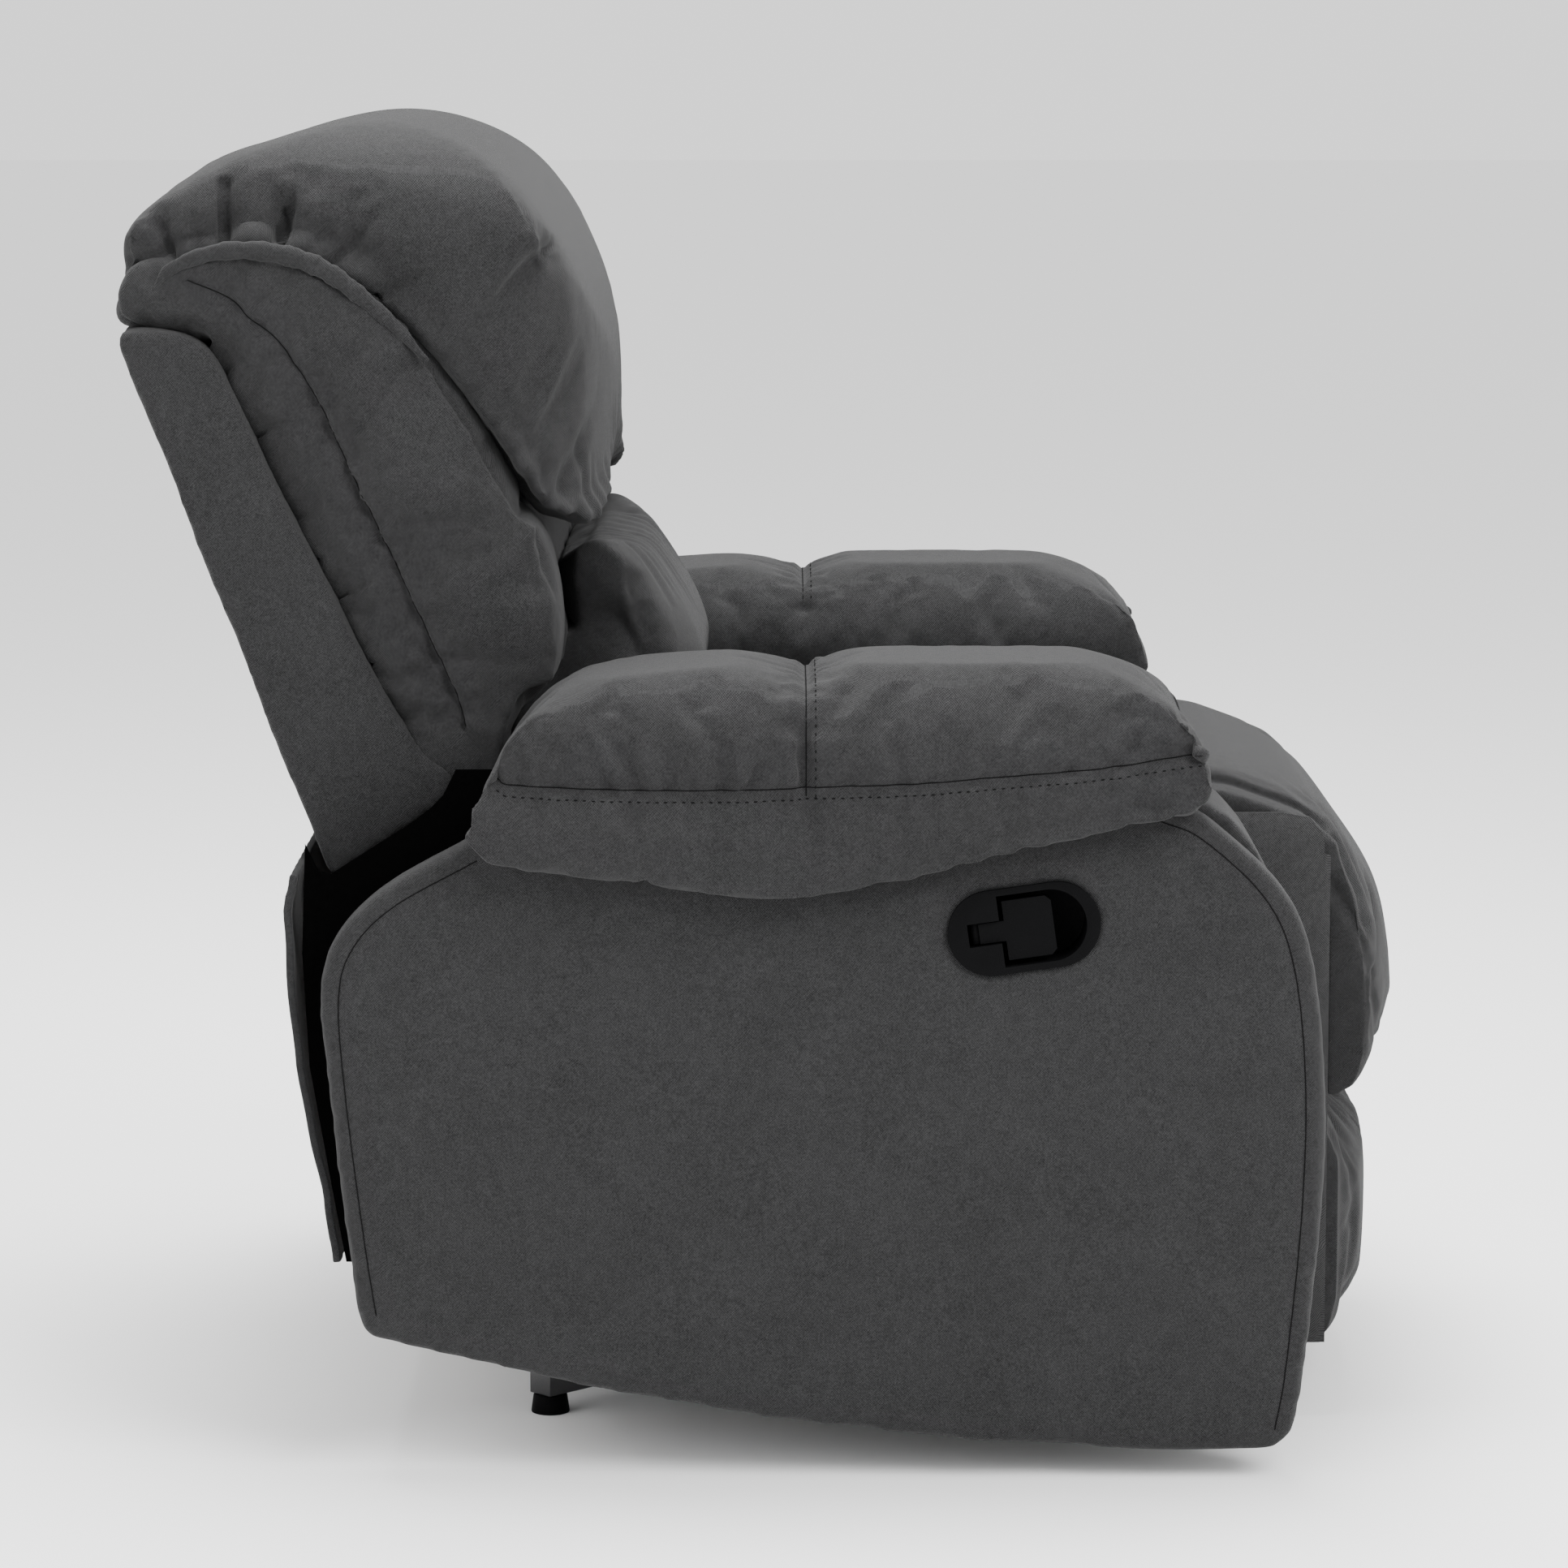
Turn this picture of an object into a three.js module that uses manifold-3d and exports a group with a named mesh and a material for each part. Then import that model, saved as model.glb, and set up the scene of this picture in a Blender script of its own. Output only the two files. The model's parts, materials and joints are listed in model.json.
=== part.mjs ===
// Rocker recliner armchair: swivel base, rocking body, sliding seat, reclining back, folding footrest.
// Millimetres. +Z up, the sitter faces -Y, X runs across the seat. The origin is on the floor under the
// middle of the chair. Soft pieces are plain closed solids of their outer size.
import * as THREE from 'three';
import { mergeVertices } from 'three/addons/utils/BufferGeometryUtils.js';
import Module from 'manifold-3d';

const wasm = await Module();
wasm.setup();

// ---------------------------------------------------------------- driving dimensions
const GAP = 0.3;                 // clearance between pieces that touch

const PANEL_IN = 400;            // inner face of a side panel, across the chair
const PANEL_OUT = 440;           // outer face of a side panel
const ARM_IN = 256;              // inner face of an arm frame
const PAD_OUT = 475;             // outer edge of an arm pad: half the overall width
const PAD_TOP = 603;             // height of the arm pads
const PAD_BASE = 506;            // top of the side panels, which the arm pads sit on

const SWIVEL_Y = -60;            // swivel axis
const FOOT_REACH = 328;          // swivel axis to the middle of a glide
const GLIDE_HEIGHT = 14.7;
const LEG_BASE = 15;
const LEG_TOP = 37;
const DECK_BASE = 45;
const DECK_TOP = 53.3;

const ROCK_Y = 12;               // where the rocker cams meet the deck rails
const ROCK_Z = 93.3;             // lowest point of the cams
const CAM_RADIUS = 420;
const CAM_TOP = 145;
const CAM_IN = 165;
const CAM_OUT = 195;
const CAM_HALF = 120;            // half the length of a cam

const SLIDE_RISE = THREE.MathUtils.degToRad(12);
const SLIDE_AT = [-60, 330];     // middle of the slide channels, as [y, z]

const RAIL_IN = 205;             // seat rails
const RAIL_OUT = 235.7;
const RAIL_BASE = 305;
const RAIL_TOP = 390;
const RAIL_FRONT = -300;
const RAIL_REAR = 215;
const PLATE_IN = 236;            // steel side plates on the seat rails
const PLATE_OUT = 240;

const SEAT_HALF = 235.5;         // half the width of the seat cushion
const SEAT_TOP = 500;
const SEAT_FRONT = -402;
const SEAT_REAR = 130;

const BACK_PIVOT = [225, 430];   // recline hinge, as [y, z]
const BACK_LEAN = Math.atan2(154, 404);
const BACK_HALF = 330;           // half the width of the backrest
const POST_IN = 168;
const POST_OUT = 199.7;

const CALF_HINGE = [-405, 450];  // footrest hinge at the front of the seat, as [y, z]
const DRIVE_PIVOT = [-250, 325]; // drive link on the seat rail
const DRIVE_LINK = [20, -200];   // drive link's knee, from its pivot
const DRIVE_IN = 190;
const DRIVE_OUT = 196;
const STRUT_IN = 197;
const STRUT_OUT = 203;
const BOARD_REAR = -402;
const BOARD_FRONT = -418;
const FOOTREST_HALF = 248;

const HANDLE_AT = [-184, 414];   // middle of the release handle's bezel, as [y, z]
const HANDLE_TILT = THREE.MathUtils.degToRad(8);

// ---------------------------------------------------------------- materials
const material = (color, roughness, metalness) =>
  new THREE.MeshStandardMaterial({ color, roughness, metalness });
const UPHOLSTERY = material(0x43434a, 0.95, 0);
const LINING = material(0x141416, 0.95, 0);
const TIMBER = material(0x8a6a45, 0.8, 0);
const BLACK_STEEL = material(0x1b1b1d, 0.45, 0.8);
const ZINC_STEEL = material(0x9a9da0, 0.4, 0.9);
const BLACK_PLASTIC = material(0x18181a, 0.55, 0);
const GLIDE_PLASTIC = material(0x101011, 0.6, 0);

// ---------------------------------------------------------------- making solids
const SIDE_VIEW = new THREE.Matrix4().makeBasis(
  new THREE.Vector3(0, 1, 0), new THREE.Vector3(0, 0, 1), new THREE.Vector3(1, 0, 0));
const FRONT_VIEW = new THREE.Matrix4().makeBasis(
  new THREE.Vector3(1, 0, 0), new THREE.Vector3(0, 0, 1), new THREE.Vector3(0, -1, 0));

function prism(shape, depth, curveSegments) {
  return new THREE.ExtrudeGeometry(shape, { depth, bevelEnabled: false, curveSegments });
}

// A shape drawn as [y, z], made solid between two places across the chair.
function sideSolid(shape, xLow, xHigh, curveSegments = 8) {
  return prism(shape, xHigh - xLow, curveSegments).translate(0, 0, xLow).applyMatrix4(SIDE_VIEW);
}

// A shape drawn as [x, z], made solid between two places along the chair.
function frontSolid(shape, yLow, yHigh, curveSegments = 8) {
  return prism(shape, yHigh - yLow, curveSegments).translate(0, 0, -yHigh).applyMatrix4(FRONT_VIEW);
}

// A shape drawn as [x, y], made solid between two heights.
function planSolid(shape, zLow, zHigh, curveSegments = 8) {
  return prism(shape, zHigh - zLow, curveSegments).translate(0, 0, zLow);
}

function box(xLow, xHigh, yLow, yHigh, zLow, zHigh) {
  const geometry = new THREE.BoxGeometry(xHigh - xLow, yHigh - yLow, zHigh - zLow);
  return geometry.translate((xLow + xHigh) / 2, (yLow + yHigh) / 2, (zLow + zHigh) / 2);
}

// A round bar across the chair, centred on [y, z].
function crossBar(radius, xLow, xHigh, [y, z], sides = 20) {
  const geometry = new THREE.CylinderGeometry(radius, radius, xHigh - xLow, sides);
  return geometry.rotateZ(Math.PI / 2).translate((xLow + xHigh) / 2, y, z);
}

// The two ends across the chair for a piece on the left (-1) or on the right (1).
function across(side, inner, outer) {
  return side < 0 ? [-outer, -inner] : [inner, outer];
}

function outline(points) {
  return new THREE.Shape(points.map(([a, b]) => new THREE.Vector2(a, b)));
}

function smoothOutline(start, points, corners = []) {
  const shape = new THREE.Shape().moveTo(...start);
  shape.splineThru(points.map(([a, b]) => new THREE.Vector2(a, b)));
  corners.forEach(([a, b]) => shape.lineTo(a, b));
  return shape;
}

// A flat bar with round ends from one [y, z] point to another.
function barShape([y0, z0], [y1, z1], radius) {
  const angle = Math.atan2(z1 - z0, y1 - y0);
  const shape = new THREE.Shape();
  shape.absarc(y1, z1, radius, angle - Math.PI / 2, angle + Math.PI / 2);
  shape.absarc(y0, z0, radius, angle + Math.PI / 2, angle + 1.5 * Math.PI);
  return shape;
}

function addHole(shape, [y, z], radius) {
  shape.holes.push(new THREE.Path().absarc(y, z, radius, 0, 2 * Math.PI, true));
  return shape;
}

function toSolid(geometry) {
  const bare = geometry.clone();
  bare.deleteAttribute('normal');
  bare.deleteAttribute('uv');
  const merged = mergeVertices(bare);
  return new wasm.Manifold(new wasm.Mesh({
    numProp: 3,
    vertProperties: new Float32Array(merged.attributes.position.array),
    triVerts: new Uint32Array(merged.index.array),
  }));
}

function toGeometry(solid) {
  const { vertProperties, triVerts } = solid.getMesh();
  const geometry = new THREE.BufferGeometry();
  geometry.setAttribute('position', new THREE.BufferAttribute(vertProperties, 3));
  geometry.setIndex(new THREE.BufferAttribute(triVerts, 1));
  geometry.computeVertexNormals();
  return geometry;
}

function joined(...geometries) {
  return toGeometry(geometries.map(toSolid).reduce((all, next) => all.add(next)));
}

function cut(geometry, ...tools) {
  return toGeometry(tools.map(toSolid).reduce((left, tool) => left.subtract(tool), toSolid(geometry)));
}

function common(...geometries) {
  return toGeometry(geometries.map(toSolid).reduce((all, next) => all.intersect(next)));
}

// ---------------------------------------------------------------- the scene graph
const chair = new THREE.Group();
const body = {};
for (const name of ['base', 'deck', 'body', 'handle', 'seat', 'back', 'drive', 'strut', 'footrest']) {
  body[name] = new THREE.Group();
  chair.add(body[name]);
}

function place(group, name, geometry, finish, at = [0, 0, 0]) {
  const mesh = new THREE.Mesh(geometry, finish);
  mesh.name = name;
  mesh.position.set(...at);
  body[group].add(mesh);
}

const SIDES = [[-1, 'left'], [1, 'right']];

// ---------------------------------------------------------------- swivel base
const DIAGONALS = [45, 135, 225, 315].map(THREE.MathUtils.degToRad);

function baseCross() {
  const hubRadius = 70;
  const spindleRadius = 28;
  const hub = new THREE.LatheGeometry([
    new THREE.Vector2(0, LEG_BASE),
    new THREE.Vector2(hubRadius, LEG_BASE),
    new THREE.Vector2(hubRadius, LEG_TOP),
    new THREE.Vector2(spindleRadius, LEG_TOP + 2),
    new THREE.Vector2(spindleRadius, DECK_BASE - GAP),
    new THREE.Vector2(0, DECK_BASE - GAP),
  ], 32).rotateX(Math.PI / 2);
  const legs = DIAGONALS.map((angle) =>
    box(0, FOOT_REACH + 11, -11.5, 11.5, LEG_BASE, LEG_TOP).rotateZ(angle));
  return joined(hub, ...legs);
}

place('base', 'base_cross', baseCross(), BLACK_STEEL, [0, SWIVEL_Y, 0]);
DIAGONALS.forEach((angle, i) => {
  const glide = new THREE.CylinderGeometry(13, 15, GLIDE_HEIGHT, 20).rotateX(Math.PI / 2);
  const x = FOOT_REACH * Math.cos(angle);
  const y = SWIVEL_Y + FOOT_REACH * Math.sin(angle);
  place('base', `foot_glide_${i + 1}`, glide, GLIDE_PLASTIC, [x, y, GLIDE_HEIGHT / 2]);
});

// ---------------------------------------------------------------- deck that carries the rockers
const DECK_HALF = 235;
const SPRING_X = 215;
const SPRING_TOP = 124.7;

// The rail's crowned rest lets a cam roll without cutting into it.
function deckRail(side) {
  const crownRadius = 120;
  const crownHalf = 40;
  const crownTop = ROCK_Z - 1.3;
  const spread = Math.asin(crownHalf / crownRadius);
  const shape = outline([[ROCK_Y - 140, DECK_TOP + GAP], [ROCK_Y + 140, DECK_TOP + GAP],
    [ROCK_Y + 140, 80], [ROCK_Y + crownHalf + 4, 84]]);
  shape.absarc(ROCK_Y, crownTop - crownRadius, crownRadius, Math.PI / 2 - spread, Math.PI / 2 + spread);
  shape.lineTo(ROCK_Y - crownHalf - 4, 84);
  shape.lineTo(ROCK_Y - 140, 80);
  return sideSolid(shape, ...across(side, CAM_IN, CAM_OUT));
}

function rockerSpring() {
  const length = SPRING_TOP - DECK_TOP - GAP;
  return new THREE.CylinderGeometry(15, 15, length, 16).rotateX(Math.PI / 2)
    .translate(0, 0, DECK_TOP + GAP + length / 2);
}

place('deck', 'deck_plate', box(-DECK_HALF, DECK_HALF, -170, 185, DECK_BASE, DECK_TOP), BLACK_STEEL);
for (const [side, label] of SIDES) {
  place('deck', `deck_rail_${label}`, deckRail(side), BLACK_STEEL);
  place('deck', `rocker_spring_${label}`, rockerSpring(), ZINC_STEEL, [side * SPRING_X, ROCK_Y, 0]);
}

// ---------------------------------------------------------------- rocking body
function rockerCam(side) {
  const centreZ = ROCK_Z + CAM_RADIUS;
  const spread = Math.asin(CAM_HALF / CAM_RADIUS);
  const shape = new THREE.Shape().moveTo(ROCK_Y - CAM_HALF, CAM_TOP);
  shape.absarc(ROCK_Y, centreZ, CAM_RADIUS, 1.5 * Math.PI - spread, 1.5 * Math.PI + spread);
  shape.lineTo(ROCK_Y + CAM_HALF, CAM_TOP);
  const cam = sideSolid(shape, ...across(side, CAM_IN, CAM_OUT), 16);
  const [lugLow, lugHigh] = across(side, CAM_IN + 5, DECK_HALF);
  return joined(cam, box(lugLow, lugHigh, ROCK_Y - 22, ROCK_Y + 22, SPRING_TOP + GAP, CAM_TOP));
}

function stretcher(yMiddle) {
  const half = ARM_IN - GAP;
  return box(-half, half, yMiddle - 15, yMiddle + 15, CAM_TOP + GAP, CAM_TOP + 35);
}

function panelShape() {
  const sweepRadius = 2400;
  const sweepY = -345;
  const sweepZ = 21.5 + sweepRadius;
  const sweepFrom = -Math.PI / 2 - Math.asin(25 / sweepRadius);
  const sweepTo = -Math.PI / 2 + Math.asin(635 / sweepRadius);
  const shape = new THREE.Shape();
  shape.absarc(sweepY, sweepZ, sweepRadius, sweepFrom, sweepTo);
  shape.quadraticCurveTo(303, 106, 306, 130);
  shape.splineThru([[312, 181], [325, 290], [331, 362], [320, 405], [283, 443], [221, 477]]
    .map(([y, z]) => new THREE.Vector2(y, z)));
  shape.lineTo(190, PAD_BASE);
  shape.lineTo(-289, PAD_BASE);
  shape.splineThru([[-322, 491], [-372, 443], [-396, 390], [-406, 300], [-405, 200], [-394, 85], [-386, 35]]
    .map(([y, z]) => new THREE.Vector2(y, z)));
  return shape;
}

function stadium(length, height) {
  const reach = (length - height) / 2;
  return barShape([-reach, 0], [reach, 0], height / 2);
}

// Everything on the handle is drawn along its own tilted length, then turned into place.
function inBezel(geometry) {
  return geometry.rotateX(-HANDLE_TILT).translate(0, ...HANDLE_AT);
}

function sidePanel(side) {
  const panel = sideSolid(panelShape(), ...across(side, PANEL_IN, PANEL_OUT), 6);
  if (side > 0) return panel;
  return cut(panel, inBezel(sideSolid(stadium(106, 57), -PANEL_OUT - 5, -PANEL_IN + 5)));
}

const FRAME_FRONT = -385;
const FRAME_REAR = 120;
const FRAME_BASE = 75;
const CABLE_HOLE = [-60, 200];   // where the release cable leaves the arm, as [y, z]

function armFrame(side) {
  const board = 15;
  const [low, high] = across(side, ARM_IN, PANEL_IN - GAP);
  const [insideLow, insideHigh] = across(side, ARM_IN + board, PANEL_IN + 5);
  const profile = new THREE.Shape().moveTo(FRAME_REAR, FRAME_BASE);
  profile.lineTo(FRAME_REAR, PAD_BASE - 1);
  profile.lineTo(-300, PAD_BASE - 1);
  profile.quadraticCurveTo(FRAME_FRONT, 470, FRAME_FRONT, 350);
  profile.lineTo(FRAME_FRONT, FRAME_BASE);
  const solid = sideSolid(profile, low, high);
  const hollow = box(insideLow, insideHigh, FRAME_FRONT + 2 * board, FRAME_REAR - board,
    FRAME_BASE + board, 455);
  if (side > 0) return cut(solid, hollow);
  return cut(solid, hollow, crossBar(7, -ARM_IN - board - 5, -ARM_IN + 5, CABLE_HOLE, 12));
}

function armPad(side) {
  const top = new THREE.Shape().moveTo(205, PAD_BASE + GAP);
  top.bezierCurveTo(210, 560, 195, 582, 130, 592);
  top.bezierCurveTo(60, 601, 0, PAD_TOP, -86, PAD_TOP);
  top.lineTo(-220, PAD_TOP);
  top.bezierCurveTo(-280, PAD_TOP, -330, 570, -320, 525);
  top.lineTo(-312, PAD_BASE + GAP);
  const lip = smoothOutline([-309, 502], [[-209, 482], [-85, 452], [7, 442], [100, 450], [205, 465]],
    [[222, 485], [222, 512], [205, 540], [-316, 540]]);
  const section = new THREE.Shape().moveTo(side * 255, 430);
  section.lineTo(side * 255, 565);
  section.quadraticCurveTo(side * 256, PAD_TOP + 1, side * 300, PAD_TOP + 1);
  section.lineTo(side * 415, PAD_TOP + 1);
  section.quadraticCurveTo(side * PAD_OUT, PAD_TOP + 1, side * PAD_OUT, 540);
  section.lineTo(side * PAD_OUT, 430);
  const block = joined(
    sideSolid(top, ...across(side, 250, PAD_OUT + 5)),
    sideSolid(lip, ...across(side, PANEL_OUT + GAP, PAD_OUT + 5), 5));
  const rearRelief = outline([[side * 250, 98.5], [side * 349, 227.2], [side * 349, 240], [side * 250, 240]]);
  return cut(common(block, frontSolid(section, -350, 250)), planSolid(rearRelief, 400, 650));
}

// A thin apron closes the back of the body under the backrest.
function rearSkirt() {
  const outer = [[320, 156], [334, 212], [346, 305], [353, 370], [355, 419], [349, 446]];
  const inner = outer.map(([y, z]) => [y - 8, z]).reverse();
  return sideSolid(outline([...outer, ...inner]), -PANEL_IN + GAP, PANEL_IN - GAP);
}

// Drawn along the slide: forward and up is positive.
function alongSlide(geometry) {
  return geometry.rotateX(-SLIDE_RISE).translate(0, ...SLIDE_AT);
}

function slideChannel(side) {
  const [low, high] = across(side, PLATE_OUT + GAP, ARM_IN - GAP);
  const [grooveLow, grooveHigh] = across(side, PLATE_OUT - 1, 250);
  return alongSlide(cut(box(low, high, -165, 165, -18, 18),
    box(grooveLow, grooveHigh, -170, 170, -12.5, 12.5)));
}

for (const [side, label] of SIDES) {
  place('body', `side_panel_${label}`, sidePanel(side), UPHOLSTERY);
  place('body', `arm_frame_${label}`, armFrame(side), TIMBER);
  place('body', `arm_pad_${label}`, armPad(side), UPHOLSTERY);
  place('body', `rocker_cam_${label}`, rockerCam(side), BLACK_STEEL);
  place('body', `slide_channel_${label}`, slideChannel(side), ZINC_STEEL);
}
place('body', 'front_stretcher', stretcher(ROCK_Y - 95), TIMBER);
place('body', 'rear_stretcher', stretcher(ROCK_Y + 95), TIMBER);
place('body', 'rear_skirt', rearSkirt(), UPHOLSTERY);

// ---------------------------------------------------------------- release handle in the left panel
const BEZEL_FACE = -PANEL_OUT - 3;
const BEZEL_BACK = -PANEL_IN - 4;
const PULL_PIVOT = [35, 0];      // along and across the bezel from its middle
const PULL_X = -433;             // depth of the handle's pivot

// A round bar that stands up across the bezel at its pivot.
function pivotBar(radius, half) {
  const geometry = new THREE.CylinderGeometry(radius, radius, 2 * half, 16).rotateX(Math.PI / 2);
  return geometry.translate(PULL_X, ...PULL_PIVOT);
}

function handleBezel() {
  const flange = sideSolid(stadium(112, 63), BEZEL_FACE, -PANEL_OUT - GAP, 12);
  const cup = sideSolid(stadium(105.4, 56.4), -PANEL_OUT - 1, BEZEL_BACK, 12);
  const mouth = outline([[-19.5, -26.5], [17.3, -26.5], [17.3, -8.5], [41, -8.5], [41, 8.5], [17.3, 8.5],
    [17.3, 26.5], [-19.5, 26.5]]);
  mouth.absarc(-19.5, 0, 26.5, Math.PI / 2, 1.5 * Math.PI);
  const recess = sideSolid(mouth, BEZEL_FACE - 5, BEZEL_BACK - 3, 12);
  return inBezel(cut(joined(flange, cup), recess, pivotBar(2.4, 13)));
}

function releaseHandle() {
  const paddle = sideSolid(outline([[-22, -18], [-18, -22], [14, -22], [14, -7.5], [33, -7.5],
    [33, 7.5], [14, 7.5], [14, 22], [-18, 22], [-22, 18]]), -440, -432);
  return inBezel(joined(paddle, pivotBar(4.5, 7.5), pivotBar(2, 12.5)));
}

// The Bowden cable runs from the back of the bezel down inside the arm to the front stretcher.
function releaseCable() {
  const route = new THREE.CatmullRomCurve3([
    [BEZEL_BACK + 0.4, -150, 409], [-385, -150, 408], [-352, -142, 392], [-335, -120, 340],
    [-325, -90, 270], [-305, -65, 218], [-275, -60, 200], [-240, -58, 197], [-205, -55, 192],
  ].map((point) => new THREE.Vector3(...point)));
  const section = new THREE.Shape().absarc(0, 0, 3, 0, 2 * Math.PI);
  return new THREE.ExtrudeGeometry(section, { steps: 30, extrudePath: route, curveSegments: 4 });
}

place('body', 'handle_bezel', handleBezel(), BLACK_PLASTIC);
place('body', 'release_cable', releaseCable(), BLACK_PLASTIC);
place('handle', 'release_handle', releaseHandle(), BLACK_PLASTIC);

// ---------------------------------------------------------------- sliding seat
function seatRail(side) {
  const shape = outline([[RAIL_FRONT, RAIL_BASE], [RAIL_REAR, RAIL_BASE], [RAIL_REAR, RAIL_TOP],
    [RAIL_FRONT, RAIL_TOP]]);
  addHole(shape, DRIVE_PIVOT, 6.8);
  return sideSolid(shape, ...across(side, RAIL_IN, RAIL_OUT));
}

// A steel plate with the runner that slides in the channel, reaching forward to the footrest hinge.
function seatSidePlate(side) {
  const runnerBack = 150;
  const runnerFront = 85;
  const along = (u) => [SLIDE_AT[0] - u * Math.cos(SLIDE_RISE), SLIDE_AT[1] + u * Math.sin(SLIDE_RISE)];
  const knee = [-290, 379];
  const [low, high] = across(side, PLATE_IN, PLATE_OUT);
  const [runnerLow, runnerHigh] = across(side, PLATE_OUT - 1, 249);
  const plate = joined(
    sideSolid(barShape(along(-runnerBack), along(runnerFront), 15), low, high),
    sideSolid(barShape(along(runnerFront), knee, 15), low, high),
    sideSolid(barShape(knee, CALF_HINGE, 12), low, high),
    alongSlide(box(runnerLow, runnerHigh, -runnerFront, runnerBack, -11.5, 11.5)));
  return cut(plate, crossBar(5.7, ...across(side, PLATE_IN - 5, PLATE_OUT + 5), CALF_HINGE));
}

// A sinuous spring: wire bent to and fro from the front crossbar to the rear one.
function seatSpring() {
  const front = -285;
  const rear = 197;
  const bends = 15;
  const swing = 26;
  const wire = 2.2;
  const points = [];
  for (let i = 0; i <= bends; i += 1) {
    const x = i === 0 || i === bends ? 0 : swing * (i % 2 ? 1 : -1);
    points.push(new THREE.Vector3(x, front + (rear - front) * i / bends, 0));
  }
  const section = new THREE.Shape().absarc(0, 0, wire, 0, 2 * Math.PI);
  const path = new THREE.CatmullRomCurve3(points);
  return new THREE.ExtrudeGeometry(section, { steps: 4 * bends, extrudePath: path, curveSegments: 3 });
}

function backBracket(side) {
  const pinRadius = 8;
  const [low, high] = across(side, POST_OUT + GAP, RAIL_IN - GAP);
  const foot = outline([[120, 308], [205, 308], [244, 424], [208, 446], [120, 380]]);
  return joined(
    sideSolid(foot, low, high),
    sideSolid(barShape(BACK_PIVOT, [222, 428], 20), low, high),
    crossBar(pinRadius, ...across(side, POST_IN - 6, RAIL_IN - GAP), BACK_PIVOT));
}

function seatCushion() {
  const shape = new THREE.Shape().moveTo(SEAT_REAR, 398.3);
  shape.lineTo(SEAT_REAR, 480);
  shape.quadraticCurveTo(SEAT_REAR, 497, 105, 497);
  shape.quadraticCurveTo(-120, SEAT_TOP + 3, -320, 497);
  shape.quadraticCurveTo(-395, 492, SEAT_FRONT, 440);
  shape.lineTo(SEAT_FRONT, 398.3);
  return sideSolid(shape, -SEAT_HALF, SEAT_HALF);
}

for (const [side, label] of SIDES) {
  place('seat', `seat_rail_${label}`, seatRail(side), TIMBER);
  place('seat', `seat_side_plate_${label}`, seatSidePlate(side), ZINC_STEEL);
  place('seat', `back_bracket_${label}`, backBracket(side), ZINC_STEEL);
}
const FRONT_BAR_HALF = RAIL_IN - GAP;
const REAR_BAR_HALF = POST_OUT;
place('seat', 'seat_crossbar_front', box(-FRONT_BAR_HALF, FRONT_BAR_HALF, RAIL_FRONT, -265, 355, RAIL_TOP),
  TIMBER);
place('seat', 'seat_crossbar_rear', box(-REAR_BAR_HALF, REAR_BAR_HALF, 180, 213, 355, RAIL_TOP), TIMBER);
[-130, 0, 130].forEach((x, i) => {
  place('seat', `seat_spring_${i + 1}`, seatSpring(), BLACK_STEEL, [x, 0, RAIL_TOP + 2.6]);
});
place('seat', 'seat_cushion', seatCushion(), UPHOLSTERY);

// ---------------------------------------------------------------- reclining back
// A point of the backrest: up along its lean from the pivot, and back square to it.
function onBack(up, back) {
  return [
    BACK_PIVOT[0] + up * Math.sin(BACK_LEAN) + back * Math.cos(BACK_LEAN),
    BACK_PIVOT[1] + up * Math.cos(BACK_LEAN) - back * Math.sin(BACK_LEAN),
  ];
}

function backBlock(upLow, upHigh, backLow, backHigh, half) {
  const corners = [onBack(upLow, backLow), onBack(upLow, backHigh), onBack(upHigh, backHigh),
    onBack(upHigh, backLow)];
  return sideSolid(outline(corners), -half, half);
}

const POST_TOP = 430;
const POST_HALF = 18;
const PANEL_FRONT = 78;          // back panel, square to the lean
const PANEL_REAR = 98;

function backPost(side) {
  const [low, high] = across(side, POST_IN, POST_OUT);
  const post = joined(
    sideSolid(barShape(BACK_PIVOT, onBack(POST_TOP - POST_HALF, 0), POST_HALF), low, high),
    sideSolid(barShape(BACK_PIVOT, onBack(1, 0), 25), low, high));
  return cut(post, crossBar(8.7, low - 5, high + 5, BACK_PIVOT));
}

// The front edge of the wings, from the arm pads up and over to the top of the back.
const WING_EDGE = [[155, 583], [157, 611], [170, 658], [194, 720], [218, 766], [246, 810], [270, 841],
  [298, 862]];

function backSide(side) {
  const shape = new THREE.Shape().moveTo(331, 433);
  shape.lineTo(485, 837);
  shape.lineTo(478, 843);
  shape.splineThru([[452, 843], [421, 832], [400, 797], [352, 696], [304, 602], [268, 537], [245, 516]]
    .map(([y, z]) => new THREE.Vector2(y, z)));
  shape.splineThru([[236, 506], [253, 484], [300, 453]].map(([y, z]) => new THREE.Vector2(y, z)));
  return sideSolid(shape, ...across(side, BACK_HALF - 40, BACK_HALF), 3);
}

function wing(side) {
  const shape = new THREE.Shape().moveTo(231, 510);
  WING_EDGE.forEach(([y, z]) => shape.lineTo(y, z));
  shape.splineThru([[340, 882], [374, 891], [404, 894], [432, 890], [449, 875], [454, 848]]
    .map(([y, z]) => new THREE.Vector2(y, z)));
  shape.splineThru([[430, 846], [413, 835], [395, 801], [347, 700], [299, 606], [263, 541], [240, 518]]
    .map(([y, z]) => new THREE.Vector2(y, z)));
  const relief = box(...across(side, 253, BACK_HALF + 10), 100, 228, 490, PAD_TOP + 3);
  return cut(sideSolid(shape, ...across(side, RAIL_IN + GAP, 322), 3), relief);
}

function backCore() {
  const shape = outline([onBack(78, -19.5), [226, 513], ...WING_EDGE, [345, 866], onBack(438, -19.5)]);
  return sideSolid(shape, -RAIL_IN + GAP, RAIL_IN - GAP);
}

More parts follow.
